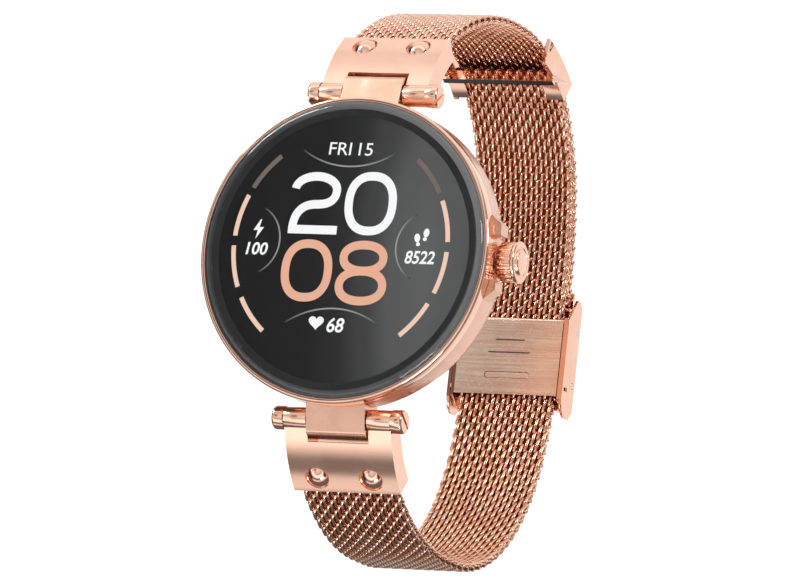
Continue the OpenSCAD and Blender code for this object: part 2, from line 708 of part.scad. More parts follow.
module clasp_pins() color(STEEL) {
    bar(clasp_pin_r, ear_out_x, [cover_pin_y, clasp_pin_z]);
    bar(lock_pin_r, frame_half_w, [lock_pin_y, lock_pin_z]);
}

// Outline of a cover ear in the Y-Z plane
module ear_outline() polygon([[lock_pin_y + 0.25, lock_in_z + 0.2],
    [clasp_bar_y + 4.4, base_z - 0.1], [clasp_bar_y + 4.4, cover_out_z + 0.9],
    [clasp_bar_y + 3.6, cover_out_z], [lock_end_y - 1.5, cover_out_z],
    [lock_end_y - 2.7, cover_out_z + 1.1], [lock_end_y - 2.7, mesh_in_z - 0.5],
    [lock_end_y - 1.9, lock_in_z - 0.3], [lock_end_y - 0.5, lock_in_z + 0.2]]);

module clasp_cover() color(ROSE) difference() {
    union() {
        for (s = [0, 1]) mirror([s, 0, 0]) translate([ear_in_x + ear_t / 2, 0, 0])
            across(ear_t) ear_outline();
        block([-ear_in_x - 0.1, cover_pin_y + 1.05, cover_out_z],
            [ear_in_x + 0.1, clasp_bar_y + 0.8, cover_in_z]);
    }
    bar(clasp_pin_r + 0.01, ear_out_x + over, [clasp_bar_y, clasp_pin_z]);
    bar(clasp_pin_r + hinge_clear, ear_out_x + over, [cover_pin_y, clasp_pin_z]);
    block([-ear_out_x - over, cover_pin_y - 1.1, mesh_out_z + 0.5],
        [ear_out_x + over, cover_pin_y - 0.6, mesh_out_z + 1.7]);
}

module clasp_bar() color(STEEL) bar(clasp_pin_r, ear_out_x, [clasp_bar_y, clasp_pin_z]);

// Lock plate: presses on the mesh to hold the clasp's place, lifted at its slot
module lock_plate() color(BRUSHED) difference() {
    union() {
        across(2 * lock_half_w) polygon([[lock_end_y, lock_in_z], [lock_end_y, lock_z + 0.27],
            [lock_end_y + 2.1, lock_z], [lock_pin_y - 0.1, lock_z], [lock_pin_y - 0.1, lock_in_z]]);
        bar(lock_barrel_r, lock_half_w, [lock_pin_y, lock_pin_z]);
    }
    bar(lock_pin_r + 0.03, lock_half_w + over, [lock_pin_y, lock_pin_z]);
    translate([0, lock_end_y + 2.6, 0]) for (s = [-1, 1])
        translate([s * (lock_slot_l - 0.9) / 2, 0, 0]) disc(0.45, lock_z - over, lock_in_z + over);
    block([-(lock_slot_l - 0.9) / 2, lock_end_y + 2.15, lock_z - over],
        [(lock_slot_l - 0.9) / 2, lock_end_y + 3.05, lock_in_z + over]);
}

// Keeper on the strap's tail: a bar inside, ears beside both layers, claws on the mesh
module tail_tip() color(ROSE) {
    in_r = top_bend_lower_r - layer_pitch - strap_t / 2 - 0.02;
    ear_x = strap_w / 2 + 0.3;
    ear_w = 0.6;
    claw_w = 2.3;
    rotate([90, 0, 90]) translate(top_lower_at) {
        rotate(-tail_end_a - 1.6) rotate_extrude(angle = 2.7)
            translate([in_r - 1.4, -ear_x - ear_w]) square([1.4, 2 * (ear_x + ear_w)]);
        for (s = [-1, 1]) {
            rotate(-tail_end_a - 13) rotate_extrude(angle = 24)
                translate([in_r - 0.6, s * (ear_x + ear_w / 2) - ear_w / 2]) square([3.5, ear_w]);
            rotate(-tail_end_a - 12) rotate_extrude(angle = 11)
                translate([in_r - 0.6, s * (ear_x + ear_w - claw_w / 2) - claw_w / 2])
                    square([0.6, claw_w]);
        }
    }
}

case_shell();
bezel_ring();
cover_glass();
glass_gasket();
display_panel();
display_flex();
inner_frame();
main_board();
board_chips();
board_screws();
battery();
vibration_motor();
back_cover();
back_seal();
back_screws();
sensor_window();
sensor_board();
sensor_leds();
charge_contacts();
crown_tube();
crown_seal();
crown_switch();
crown_plunger();
crown_stem();
crown_clip();
crown_knob();
crown_cap();
pin_top();
pin_bottom();
pin_screws_top();
pin_screws_bottom();
bracket_top();
bracket_bottom();
rivets_top();
rivets_bottom();
strap_top();
strap_bottom();
clasp_hook();
clasp_frame();
clasp_pins();
clasp_cover();
clasp_bar();
lock_plate();
tail_tip();
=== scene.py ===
import json

import bmesh
import bpy
import numpy as np
from mathutils import Matrix, Vector

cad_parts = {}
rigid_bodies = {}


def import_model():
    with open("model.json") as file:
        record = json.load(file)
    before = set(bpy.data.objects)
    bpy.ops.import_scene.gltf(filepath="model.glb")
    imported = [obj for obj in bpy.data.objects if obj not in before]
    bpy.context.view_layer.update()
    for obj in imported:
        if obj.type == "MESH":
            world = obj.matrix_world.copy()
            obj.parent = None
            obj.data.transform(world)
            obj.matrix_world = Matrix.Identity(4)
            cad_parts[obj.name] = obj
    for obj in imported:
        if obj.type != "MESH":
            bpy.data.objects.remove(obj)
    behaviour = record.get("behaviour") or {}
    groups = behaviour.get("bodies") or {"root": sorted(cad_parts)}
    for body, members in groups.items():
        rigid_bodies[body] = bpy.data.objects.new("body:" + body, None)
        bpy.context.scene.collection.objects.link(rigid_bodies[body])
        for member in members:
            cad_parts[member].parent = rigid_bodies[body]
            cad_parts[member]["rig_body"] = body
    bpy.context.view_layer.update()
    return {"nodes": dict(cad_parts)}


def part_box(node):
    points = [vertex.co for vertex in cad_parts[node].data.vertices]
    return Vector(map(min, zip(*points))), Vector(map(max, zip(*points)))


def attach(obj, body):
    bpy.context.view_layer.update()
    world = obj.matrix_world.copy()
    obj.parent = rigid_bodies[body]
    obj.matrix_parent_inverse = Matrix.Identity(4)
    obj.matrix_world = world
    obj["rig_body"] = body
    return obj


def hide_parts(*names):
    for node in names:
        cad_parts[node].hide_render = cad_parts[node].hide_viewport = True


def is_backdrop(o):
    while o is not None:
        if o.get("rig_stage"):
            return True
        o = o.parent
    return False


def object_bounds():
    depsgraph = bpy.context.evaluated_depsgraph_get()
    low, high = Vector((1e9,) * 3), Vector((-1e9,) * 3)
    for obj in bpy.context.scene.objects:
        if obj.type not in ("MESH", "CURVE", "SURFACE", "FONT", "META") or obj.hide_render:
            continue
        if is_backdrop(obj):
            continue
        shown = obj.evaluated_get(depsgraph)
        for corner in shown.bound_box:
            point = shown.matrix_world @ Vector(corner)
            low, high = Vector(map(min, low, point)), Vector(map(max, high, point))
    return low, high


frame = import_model()
nodes = frame["nodes"]
MM = 0.001
SHARP = 40  # degrees between faces that meet in a hard edge
ALL_SMOOTH = 179  # for wires, which have no hard edge
BEND_CENTRE = np.array([15.2, -11.55])  # of a strap bracket's curve, in the Y-Z plane, in mm


# ---------------------------------------------------------------- mesh helpers

def grid_faces(rows, columns, first=0, wrap_rows=False, wrap_columns=False):
    """Four-cornered faces between the points of a grid that is numbered row by row."""
    r = np.arange(rows if wrap_rows else rows - 1)
    c = np.arange(columns if wrap_columns else columns - 1)
    r, c = np.meshgrid(r, c, indexing="ij")
    r2, c2 = (r + 1) % rows, (c + 1) % columns
    corners = [r * columns + c, r2 * columns + c, r2 * columns + c2, r * columns + c2]
    return first + np.stack(corners, -1).reshape(-1, 4)


def enclosed(points, face_sets):
    """Volume inside closed faces: the sum of the pyramids from the origin to each face's fan."""
    total = 0.0
    for faces in face_sets:
        a = points[faces[:, 0]]
        for k in range(1, faces.shape[1] - 1):
            total += np.einsum("ij,ij->", a, np.cross(points[faces[:, k]], points[faces[:, k + 1]]))
    return total / 6


def place(name, points, face_sets, body, slot, material, stands_for=(), smooth=True, sharp=SHARP):
    """Makes a piece from points (in metres) and arrays of faces, and lets it ride on a body."""
    points = np.asarray(points, float).reshape(-1, 3)
    if enclosed(points, face_sets) < 0:
        face_sets = [f[:, ::-1] for f in face_sets]
    corners = np.concatenate([f.ravel() for f in face_sets])
    sizes = np.concatenate([np.full(len(f), f.shape[1]) for f in face_sets])
    mesh = bpy.data.meshes.new(name)
    mesh.vertices.add(len(points))
    mesh.vertices.foreach_set("co", points.astype(np.float32).ravel())
    mesh.loops.add(len(corners))
    mesh.loops.foreach_set("vertex_index", corners.astype(np.int32))
    mesh.polygons.add(len(sizes))
    mesh.polygons.foreach_set("loop_start", (np.cumsum(sizes) - sizes).astype(np.int32))
    mesh.polygons.foreach_set("use_smooth", np.full(len(sizes), smooth))
    mesh.update(calc_edges=True)
    mesh.validate()
    if smooth:
        mesh.set_sharp_from_angle(angle=np.radians(sharp))
    return ride_piece(bpy.data.objects.new(name, mesh), body, material, stands_for)


def ride_piece(piece, body, material, stands_for=()):
    """Gives a piece its one material, its body, and the CAD nodes that it stands for."""
    bpy.context.scene.collection.objects.link(piece)
    piece.data.materials.clear()
    piece.data.materials.append(material)
    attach(piece, body)
    if stands_for:
        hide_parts(*stands_for)
    return piece


def revolve(profile, steps=288):
    """A closed (radius, height) profile in mm turned about the Z axis: a wrapped grid of points."""
    turn = np.linspace(0, 2 * np.pi, steps, endpoint=False)[:, None]
    radius, height = np.array(profile, float).T
    points = np.stack([radius * np.cos(turn), radius * np.sin(turn), height + 0 * turn], -1)
    faces = grid_faces(steps, len(profile), wrap_rows=True, wrap_columns=True)
    return points.reshape(-1, 3) * MM, [faces]


def corner(centre, radii, start, stop, steps=8):
    """Points of an elliptical corner, from one angle to another in degrees."""
    a = np.radians(np.linspace(start, stop, steps))
    return list(zip(centre[0] + radii[0] * np.cos(a), centre[1] + radii[1] * np.sin(a)))


JOIN_WITHIN = 2e-7  # metres between corners that are one point
FLAT_WITHIN = np.radians(0.4)  # between a flat face's triangles
HARD_EDGE = np.radians(32)  # from here on an edge is rounded


def merged_copy(node):
    """A CAD node's mesh, copied, with its triangles joined into whole flat faces."""
    mesh = nodes[node].data.copy()
    mesh.name = node + "_finished"
    merged = bmesh.new()
    merged.from_mesh(mesh)
    bmesh.ops.remove_doubles(merged, verts=merged.verts, dist=JOIN_WITHIN)
    bmesh.ops.dissolve_limit(merged, angle_limit=FLAT_WITHIN, verts=merged.verts,
        edges=merged.edges)
    return mesh, merged


def finish_copy(node, mesh, merged, material):
    """Turns a merged copy into a smooth piece that stands for its node."""
    for face in merged.faces:
        face.smooth = True
    merged.to_mesh(mesh)
    merged.free()
    if "custom_normal" in mesh.attributes:
        mesh.attributes.remove(mesh.attributes["custom_normal"])
    piece = bpy.data.objects.new(node + "_finished", mesh)
    return ride_piece(piece, nodes[node]["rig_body"], material, [node])


def rounded(node, width, material, dark=None, is_dark=None):
    """A copy of a CAD node with its edges rounded by width (mm).

    Faces whose middle (in mm) passes is_dark get the material dark instead.
    """
    mesh, merged = merged_copy(node)
    piece = finish_copy(node, mesh, merged, material)
    if dark:
        mesh.materials.append(dark)
        for face in mesh.polygons:
            face.material_index = int(is_dark(face.center / MM))
    bevel = piece.modifiers.new("Rounded edges", "BEVEL")
    bevel.width = width * MM
    bevel.segments = 2
    bevel.limit_method = "ANGLE"
    bevel.angle_limit = HARD_EDGE
    bevel.use_clamp_overlap = True
    bevel.harden_normals = False
    weighted = piece.modifiers.new("Even shading", "WEIGHTED_NORMAL")
    weighted.keep_sharp = True
    weighted.weight = 80


# ------------------------------------------------------------ material helpers

def put(tree, kind, inputs=None, **settings):
    """Adds a shader node; an input is a plain value or another node's socket."""
    node = tree.nodes.new(kind)
    for key, value in settings.items():
        setattr(node, key, value)
    for key, value in (inputs or {}).items():
        if isinstance(value, bpy.types.NodeSocket):
            tree.links.new(value, node.inputs[key])
        else:
            node.inputs[key].default_value = value
    return node


def math(tree, operation, *values):
    """One step of arithmetic on numbers or sockets."""
    return put(tree, "ShaderNodeMath", dict(enumerate(values)), operation=operation).outputs[0]


def ramp(tree, factor, stops, interpolation="LINEAR"):
    """A colour ramp with (position, colour or grey value) stops; gives its colour socket."""
    node = put(tree, "ShaderNodeValToRGB", {"Fac": factor})
    node.color_ramp.interpolation = interpolation
    elements = node.color_ramp.elements
    while len(elements) > 1:
        elements.remove(elements[-1])
    for k, (position, colour) in enumerate(stops):
        element = elements[0] if k == 0 else elements.new(position)
        element.position = position
        element.color = (*(colour if hasattr(colour, "__len__") else (colour,) * 3), 1)
    return node.outputs["Color"]


def remap(tree, value, low, high, to_low=0.0, to_high=1.0, smooth=False):
    """Moves a value from one range to another, held at the ends."""
    kind = "SMOOTHSTEP" if smooth else "LINEAR"
    inputs = {0: value, 1: low, 2: high, 3: to_low, 4: to_high}
    return put(tree, "ShaderNodeMapRange", inputs, interpolation_type=kind).outputs[0]


def blend_colours(tree, factor, a, b):
    """Colour a where the factor is 0, colour b where it is 1."""
    a = (*a, 1) if isinstance(a, tuple) and len(a) == 3 else a
    b = (*b, 1) if isinstance(b, tuple) and len(b) == 3 else b
    return put(tree, "ShaderNodeMix", {0: factor, 6: a, 7: b}, data_type="RGBA").outputs[2]


def make_surface_group():
    """Group "Worked surface": fine grain, soft smudges and hairline scratches on Object coordinates.

    Grain is noise on coordinates stretched by Direction, so that a brushed face has lines. Smudge is
    wide soft noise. Hairline is thin lines where a wave of warped noise crosses its middle. Normal is
    the grain and the hairlines as a bump of the given Depth.
    """
    tree = bpy.data.node_groups.new("Worked surface", "ShaderNodeTree")
    face = tree.interface
    face.new_socket("Direction", in_out="INPUT", socket_type="NodeSocketVector")
    face.new_socket("Depth", in_out="INPUT", socket_type="NodeSocketFloat")
    for name in ("Grain", "Smudge", "Hairline"):
        face.new_socket(name, in_out="OUTPUT", socket_type="NodeSocketFloat")
    face.new_socket("Normal", in_out="OUTPUT", socket_type="NodeSocketVector")
    outside = tree.nodes.new("NodeGroupInput")
    where = put(tree, "ShaderNodeTexCoord").outputs["Object"]
    stretched = put(tree, "ShaderNodeVectorMath", {0: where, 1: outside.outputs["Direction"]},
        operation="MULTIPLY").outputs[0]
    grain = put(tree, "ShaderNodeTexNoise", {"Vector": stretched, "Scale": 1.0, "Detail": 3.0,
        "Roughness": 0.6}).outputs["Fac"]
    smudge = put(tree, "ShaderNodeTexNoise", {"Vector": where, "Scale": 320.0, "Detail": 2.0,
        "Distortion": 0.6}).outputs["Fac"]
    scratch_noise = put(tree, "ShaderNodeTexNoise", {"Vector": where, "Scale": 900.0,
        "Detail": 1.0, "Distortion": 2.2}).outputs["Fac"]
    off_line = math(tree, "ABSOLUTE", math(tree, "SUBTRACT", scratch_noise, 0.5))
    hairline = remap(tree, off_line, 0.0, 0.004, 1.0, 0.0)
    height = math(tree, "MULTIPLY_ADD", hairline, -0.15, grain)
    bump = put(tree, "ShaderNodeBump", {"Height": height, "Strength": 1.0,
        "Distance": outside.outputs["Depth"]})
    ends = {"Grain": grain, "Smudge": smudge, "Hairline": hairline, "Normal": bump.outputs[0]}
    put(tree, "NodeGroupOutput", ends)
    return tree


SURFACE = make_surface_group()


def start_material(name, direction, depth):
    """A new material with its shader, output and worked surface."""
    material = bpy.data.materials.new(name)
    material.use_nodes = True
    tree = material.node_tree
    tree.nodes.clear()
    shader = put(tree, "ShaderNodeBsdfPrincipled")
    put(tree, "ShaderNodeOutputMaterial", {"Surface": shader.outputs[0]})
    worked = put(tree, "ShaderNodeGroup", node_tree=SURFACE)
    worked.inputs["Direction"].default_value = direction
    worked.inputs["Depth"].default_value = depth
    tree.links.new(worked.outputs["Normal"], shader.inputs["Normal"])
    return material, tree, shader, worked


def metal(name, dark, light, roughness, spread, direction, depth, smudged=1.0):
    """Metal whose tone and roughness wander with its smudges (smudged sets how much) and grain."""
    material, tree, shader, worked = start_material(name, direction, depth)
    tone = remap(tree, worked.outputs["Smudge"], 0.3, 0.7, 0.0, smudged)
    tone = math(tree, "MULTIPLY_ADD", worked.outputs["Grain"], 1.5 - smudged, tone)
    tone = remap(tree, tone, 0.5 - 0.4 * smudged, 0.95 + 0.35 * smudged)
    tree.links.new(blend_colours(tree, tone, dark, light), shader.inputs["Base Color"])
    gloss = remap(tree, worked.outputs["Smudge"], 0.25, 0.75, roughness, roughness + spread)
    gloss = math(tree, "MULTIPLY_ADD", worked.outputs["Hairline"], 0.05, gloss)
    tree.links.new(gloss, shader.inputs["Roughness"])
    shader.inputs["Metallic"].default_value = 1.0
    return material


def moulded(name, dark, light, roughness, spread, size, depth, coat=0.0):
    """Plastic, rubber or lacquer with a fine moulded grain."""
    material, tree, shader, worked = start_material(name, (size, size, size), depth)
    tone = remap(tree, worked.outputs["Grain"], 0.3, 0.7)
    tree.links.new(blend_colours(tree, tone, dark, light), shader.inputs["Base Color"])
    gloss = remap(tree, worked.outputs["Smudge"], 0.3, 0.7, roughness, roughness + spread)
    tree.links.new(gloss, shader.inputs["Roughness"])
    shader.inputs["Coat Weight"].default_value = coat
    return material


def clear_glass(name, tint, roughness, spread):
    """Clear cover glass with faint finger smudges in its gloss."""
    material, tree, shader, worked = start_material(name, (3000, 3000, 3000), 2e-8)
    tree.links.new(blend_colours(tree, worked.outputs["Smudge"], tint, (0.96, 0.97, 0.98)),
        shader.inputs["Base Color"])
    gloss = remap(tree, worked.outputs["Smudge"], 0.45, 0.8, roughness, roughness + spread)
    tree.links.new(gloss, shader.inputs["Roughness"])
    shader.inputs["Transmission Weight"].default_value = 1.0
    shader.inputs["IOR"].default_value = 1.5
    return material


def printed_board(name):
    """Green lacquered board with a fine brick pattern of lighter green lines."""
    material, tree, shader, worked = start_material(name, (2500, 2500, 2500), 4e-7)
    where = put(tree, "ShaderNodeTexCoord").outputs["Object"]
    tracks = put(tree, "ShaderNodeTexBrick", {"Vector": where, "Scale": 900.0,
        "Mortar Size": 0.12, "Color1": (0.01, 0.10, 0.05, 1), "Color2": (0.01, 0.13, 0.06, 1),
        "Mortar": (0.06, 0.26, 0.10, 1)})
    tree.links.new(tracks.outputs["Color"], shader.inputs["Base Color"])
    tree.links.new(remap(tree, worked.outputs["Smudge"], 0.3, 0.7, 0.25, 0.4),
        shader.inputs["Roughness"])
    shader.inputs["Coat Weight"].default_value = 0.6
    return material


def lit(name, colour, strength, fade=False):
    """A lit mark on the display; its cells make a very fine grid of brighter and darker points."""
    material, tree, shader, worked = start_material(name, (9000, 9000, 9000), 1e-8)
    cells = remap(tree, worked.outputs["Grain"], 0.2, 0.8, 0.94, 1.0)
    glow = blend_colours(tree, cells, tuple(0.9 * c for c in colour), colour)
    if fade:
        share = put(tree, "ShaderNodeAttribute", attribute_name="glow").outputs["Fac"]
        glow = blend_colours(tree, share, (0.012, 0.012, 0.0115), glow)
    tree.links.new(glow, shader.inputs["Emission Color"])
    shader.inputs["Emission Strength"].default_value = strength
    shader.inputs["Base Color"].default_value = (0.01, 0.01, 0.01, 1)
    tree.links.new(remap(tree, worked.outputs["Smudge"], 0.3, 0.7, 0.4, 0.5),
        shader.inputs["Roughness"])
    return material


def screen(name, painted_reflection_at, reach):
    """Black screen with a painted grey reflection: a soft grey emitted glow round one point, tall along
    Y, and dark beyond reach.
    """
    material, tree, shader, worked = start_material(name, (9000, 9000, 9000), 1e-8)
    where = put(tree, "ShaderNodeTexCoord").outputs["Object"]
    apart = put(tree, "ShaderNodeVectorMath", {0: where, 1: painted_reflection_at},
        operation="SUBTRACT").outputs[0]
    squashed = put(tree, "ShaderNodeVectorMath", {0: apart, 1: (1.0, 0.30, 0.0)},
        operation="MULTIPLY").outputs[0]
    distance = put(tree, "ShaderNodeVectorMath", {0: squashed}, operation="LENGTH").outputs["Value"]
    # painted reflection: grey emission that stands in for the glass reflecting the room
    glow = ramp(tree, remap(tree, distance, 0.0, reach),
        [(0.0, 0.120), (0.15, 0.100), (0.27, 0.050), (0.40, 0.018), (0.55, 0.008), (1.0, 0.004)],
        "EASE")
    tree.links.new(glow, shader.inputs["Emission Color"])
    shader.inputs["Emission Strength"].default_value = 1.0
    shader.inputs["Base Color"].default_value = (0.003, 0.003, 0.003, 1)
    shader.inputs["Specular IOR Level"].default_value = 0.08
    tree.links.new(remap(tree, worked.outputs["Smudge"], 0.3, 0.7, 0.3, 0.4),
        shader.inputs["Roughness"])
    return material


def painted_rim_reflection(name):
    """Painted reflection under the glass's rim: grey emission, lighter towards the upper right, that
    stands in for the rounded rim reflecting the room.
    """
    material, tree, shader, worked = start_material(name, (9000, 9000, 9000), 1e-8)
    where = put(tree, "ShaderNodeTexCoord").outputs["Object"]
    side = put(tree, "ShaderNodeVectorMath", {0: where, 1: (0.8, 0.6, 0.0)},
        operation="DOT_PRODUCT").outputs["Value"]
    level = remap(tree, worked.outputs["Smudge"], 0.3, 0.7, 0.9, 1.0)
    # painted reflection: brighter towards the upper right
    glow = ramp(tree, remap(tree, side, -0.019, 0.019), [(0.0, 0.006), (0.4, 0.015), (0.7, 0.075),
        (1.0, 0.12)], "EASE")
    glow = math(tree, "MULTIPLY", glow, level)
    tree.links.new(glow, shader.inputs["Emission Color"])
    shader.inputs["Emission Strength"].default_value = 1.0
    shader.inputs["Base Color"].default_value = (0.01, 0.01, 0.01, 1)
    tree.links.new(remap(tree, worked.outputs["Grain"], 0.3, 0.7, 0.35, 0.45),
        shader.inputs["Roughness"])
    return material


# ------------------------------------------------------------------- materials

FINE = (4200, 4200, 4200)
ROUND_THE_CASE = (900, 900, 9000)
ACROSS = (90, 2900, 2900)
polished = metal("Rose polished", (0.88, 0.52, 0.38), (0.93, 0.59, 0.45), 0.07, 0.05, FINE, 1e-7)
satin = metal("Rose satin", (0.77, 0.45, 0.32), (0.83, 0.50, 0.37), 0.22, 0.07, ROUND_THE_CASE, 5e-7)
bracket_metal = metal("Rose bracket", (0.90, 0.55, 0.41), (0.94, 0.59, 0.45), 0.12, 0.04, FINE, 1e-7)
brushed = metal("Rose brushed", (0.84, 0.52, 0.38), (1.0, 0.80, 0.63), 0.25, 0.02, ACROSS, 1.0e-5, 0.1)
wire = metal("Rose wire", (0.70, 0.35, 0.22), (0.87, 0.54, 0.40), 0.12, 0.07, (2600, 2600, 2600), 5e-7)
steel = metal("Turned steel", (0.50, 0.49, 0.48), (0.66, 0.65, 0.64), 0.24, 0.12, FINE, 5e-7)
foil = metal("Battery foil", (0.60, 0.60, 0.62), (0.78, 0.78, 0.80), 0.30, 0.12, FINE, 3e-6)
gold = metal("Contact gold", (0.75, 0.52, 0.18), (0.88, 0.68, 0.30), 0.16, 0.08, FINE, 3e-7)
# painted dark reflection, used on the inner face of the keeper's bar
painted_dark_reflection = metal("Painted dark reflection", (0.022, 0.022, 0.022), (0.045, 0.043, 0.042), 0.3, 0.1, FINE, 3e-7)
# painted shade: dark rust sheet inside the weave that stands in for the shade between the wires
painted_shade_sheet = metal("Painted mesh shade", (0.26, 0.045, 0.014), (0.36, 0.08, 0.03), 0.5, 0.2, FINE, 2e-6)
black = moulded("Black plastic", (0.010, 0.010, 0.010), (0.022, 0.022, 0.023), 0.42, 0.14, 6500, 1.5e-6)
mask = moulded("Black mask", (0.0025, 0.0025, 0.0026), (0.004, 0.004, 0.004), 0.35, 0.1, 6500, 2e-8)
rubber = moulded("Seal rubber", (0.012, 0.012, 0.012), (0.030, 0.030, 0.030), 0.60, 0.15, 5200, 2e-6)
amber = moulded("Flex film", (0.24, 0.10, 0.02), (0.42, 0.20, 0.05), 0.25, 0.1, 1800, 5e-7, 0.3)
white = moulded("White plastic", (0.74, 0.74, 0.73), (0.84, 0.84, 0.83), 0.32, 0.12, 6000, 8e-7)
engraved = moulded("Engraving", (0.045, 0.018, 0.012), (0.09, 0.04, 0.026), 0.5, 0.2, 5200, 1e-6)
board = printed_board("Circuit board")
glass = clear_glass("Cover glass", (0.90, 0.91, 0.93), 0.0, 0.03)
sensor_glass = clear_glass("Sensor window", (0.28, 0.18, 0.20), 0.02, 0.05)
rim_reflection_paint = painted_rim_reflection("Painted grey rim reflection")
white_light = lit("White marks", (1.0, 1.0, 1.0), 1.05)
rose_light = lit("Rose marks", (0.90, 0.47, 0.31), 1.0)
pale_light = lit("Pale rose marks", (0.96, 0.66, 0.50), 1.0)
dim_light = lit("Dim marks", (0.17, 0.13, 0.105), 1.0)
grey_light = lit("Grey arcs", (0.34, 0.34, 0.335), 1.0, fade=True)


# -------------------------------------------------- CAD nodes: finish and edges

FINISHES = [
    ("rose_polished", polished, 0.06, ["crown_knob", "pin_screws_top",
        "pin_screws_bottom", "rivets_top", "rivets_bottom", "clasp_cover", "clasp_frame",
        "clasp_hook", "clasp_pins"]),
    ("rose_satin", satin, 0.12, ["case_shell"]),
    ("rose_brushed", brushed, 0.06, ["lock_plate"]),
    ("steel", steel, 0.03, ["pin_top", "pin_bottom", "clasp_bar", "back_screws"]),
    ("rose_satin", satin, 0.08, ["back_cover"]),
    ("sensor_glass", sensor_glass, 0.05, ["sensor_window"]),
    ("gold_contact", gold, 0.04, ["charge_contacts"]),
]
for slot, material, width, names in FINISHES:
    for name in names:
        rounded(name, width, material)

ON_THE_BEND = 0.995  # least cosine between a facet of the bend and the true round
LARGE_FACE = 0.4e-6  # square metres; larger flat faces are shaded flat


def bent(node, width, material, side):
    """A copy of a CAD bracket: bevelled edges, and exact normals on the two faces of its bend.

    A corner's normal on the bend is the direction from the bend's axis through the corner.
    """
    mesh, merged = merged_copy(node)
    hard = [e for e in merged.edges if len(e.link_faces) == 2 and e.calc_face_angle() > HARD_EDGE]
    bmesh.ops.bevel(merged, geom=hard, offset=width * MM, segments=2, profile=0.5,
        affect="EDGES", clamp_overlap=True)
    finish_copy(node, mesh, merged, material)
    corners, count = len(mesh.loops), len(mesh.polygons)
    at, normals = np.empty(3 * len(mesh.vertices)), np.empty(3 * corners)
    vertex, sizes = np.empty(corners, int), np.empty(count, int)
    facing, area = np.empty(3 * count), np.empty(count)
    mesh.vertices.foreach_get("co", at)
    mesh.corner_normals.foreach_get("vector", normals)
    mesh.loops.foreach_get("vertex_index", vertex)
    mesh.polygons.foreach_get("loop_total", sizes)
    mesh.polygons.foreach_get("normal", facing)
    mesh.polygons.foreach_get("area", area)
    face = np.repeat(np.arange(count), sizes)
    facing = facing.reshape(-1, 3)[face]
    out = at.reshape(-1, 3)[vertex] / MM - (0, side * BEND_CENTRE[0], BEND_CENTRE[1])
    out[:, 0] = 0
    out /= np.linalg.norm(out, axis=1, keepdims=True)
    along = (out * facing).sum(1, keepdims=True)
    flat = (area[face] > LARGE_FACE)[:, None]
    normals = np.where(flat, facing, normals.reshape(-1, 3))
    normals = np.where(np.abs(along) > ON_THE_BEND, np.sign(along) * out, normals)
    mesh.normals_split_custom_set(normals.tolist())


bent("bracket_top", 0.07, bracket_metal, 1)
bent("bracket_bottom", 0.07, bracket_metal, -1)

TAIL_CENTRE = Vector((0, 13.75, -25.2))  # of the bend that the strap's tail lies on, in mm
KEEPER_LIMIT_R = 19.75  # past the bar's inner face (19.53), before the next (20.18)
KEEPER_LIMIT_X = 7.2  # just inside the keeper's ears (7.3)


def on_keeper_bar(middle):
    """True on the innermost face of the keeper's bar, which gets a painted dark reflection."""
    out = middle - TAIL_CENTRE
    return abs(middle.x) < KEEPER_LIMIT_X and np.hypot(out.y, out.z) < KEEPER_LIMIT_R


# the keeper bar's inner face gets a painted dark reflection, not the metal's own colour
rounded("tail_tip", 0.05, polished, dark=painted_dark_reflection, is_dark=on_keeper_bar)

INSIDE = {
    "glass_gasket": rubber, "back_seal": rubber, "crown_seal": rubber, "inner_frame": black,
    "crown_switch": black, "crown_plunger": white, "display_flex": amber, "main_board": board,
    "sensor_board": board, "board_chips": black, "board_screws": steel, "battery": foil,
    "vibration_motor": steel, "sensor_leds": white, "crown_tube": steel, "crown_stem": steel,
    "crown_clip": steel,
}
for name, material in INSIDE.items():
    nodes[name].data.materials.clear()
    nodes[name].data.materials.append(material)


# ----------------------------------------------------------- glass, bezel, dial

glass_low, glass_high = (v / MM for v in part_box("cover_glass"))
bezel_low, bezel_high = (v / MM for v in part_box("bezel_ring"))
screen_low, screen_high = (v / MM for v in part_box("display_panel"))
GLASS_EDGE = (0.95, 0.62)  # how far the glass's rounded rim reaches in and down
GLASS_CHAMFER = 0.06
BEZEL_EDGE = (0.34, 0.36)  # the same for the bezel's outer edge
glass_profile = (
    [(0.0, glass_low.z), (glass_high.x - GLASS_CHAMFER, glass_low.z),
        (glass_high.x, glass_low.z + GLASS_CHAMFER)]
    + corner((glass_high.x - GLASS_EDGE[0], glass_high.z - GLASS_EDGE[1]), GLASS_EDGE, 0, 90, 14)
    + [(glass_high.x - GLASS_EDGE[0] - 2.0, glass_high.z), (0.0, glass_high.z)])


def turned_solid(profile, steps=288):
    """A profile that starts and ends on the Z axis, turned about it; both poles are one point."""
    radius, height = np.array(profile[1:-1], float).T
    turn = np.linspace(0, 2 * np.pi, steps, endpoint=False)[:, None]
    ring = np.stack([radius * np.cos(turn), radius * np.sin(turn), height + 0 * turn], -1)
    count = len(radius)
    poles = np.array([[0, 0, profile[0][1]], [0, 0, profile[-1][1]]])
    points = np.concatenate([ring.reshape(-1, 3), poles]) * MM
    k = np.arange(steps)
    after = (k + 1) % steps
    first_pole, last_pole = steps * count, steps * count + 1
    low = np.stack([np.full(steps, first_pole), after * count, k * count], -1)
    high = np.stack([np.full(steps, last_pole), k * count + count - 1,
        after * count + count - 1], -1)
    return points, [grid_faces(steps, count, wrap_rows=True), low, high]


place("cover_glass_finished", *turned_solid(glass_profile), "case", "black_glass", glass,
    ["cover_glass"])

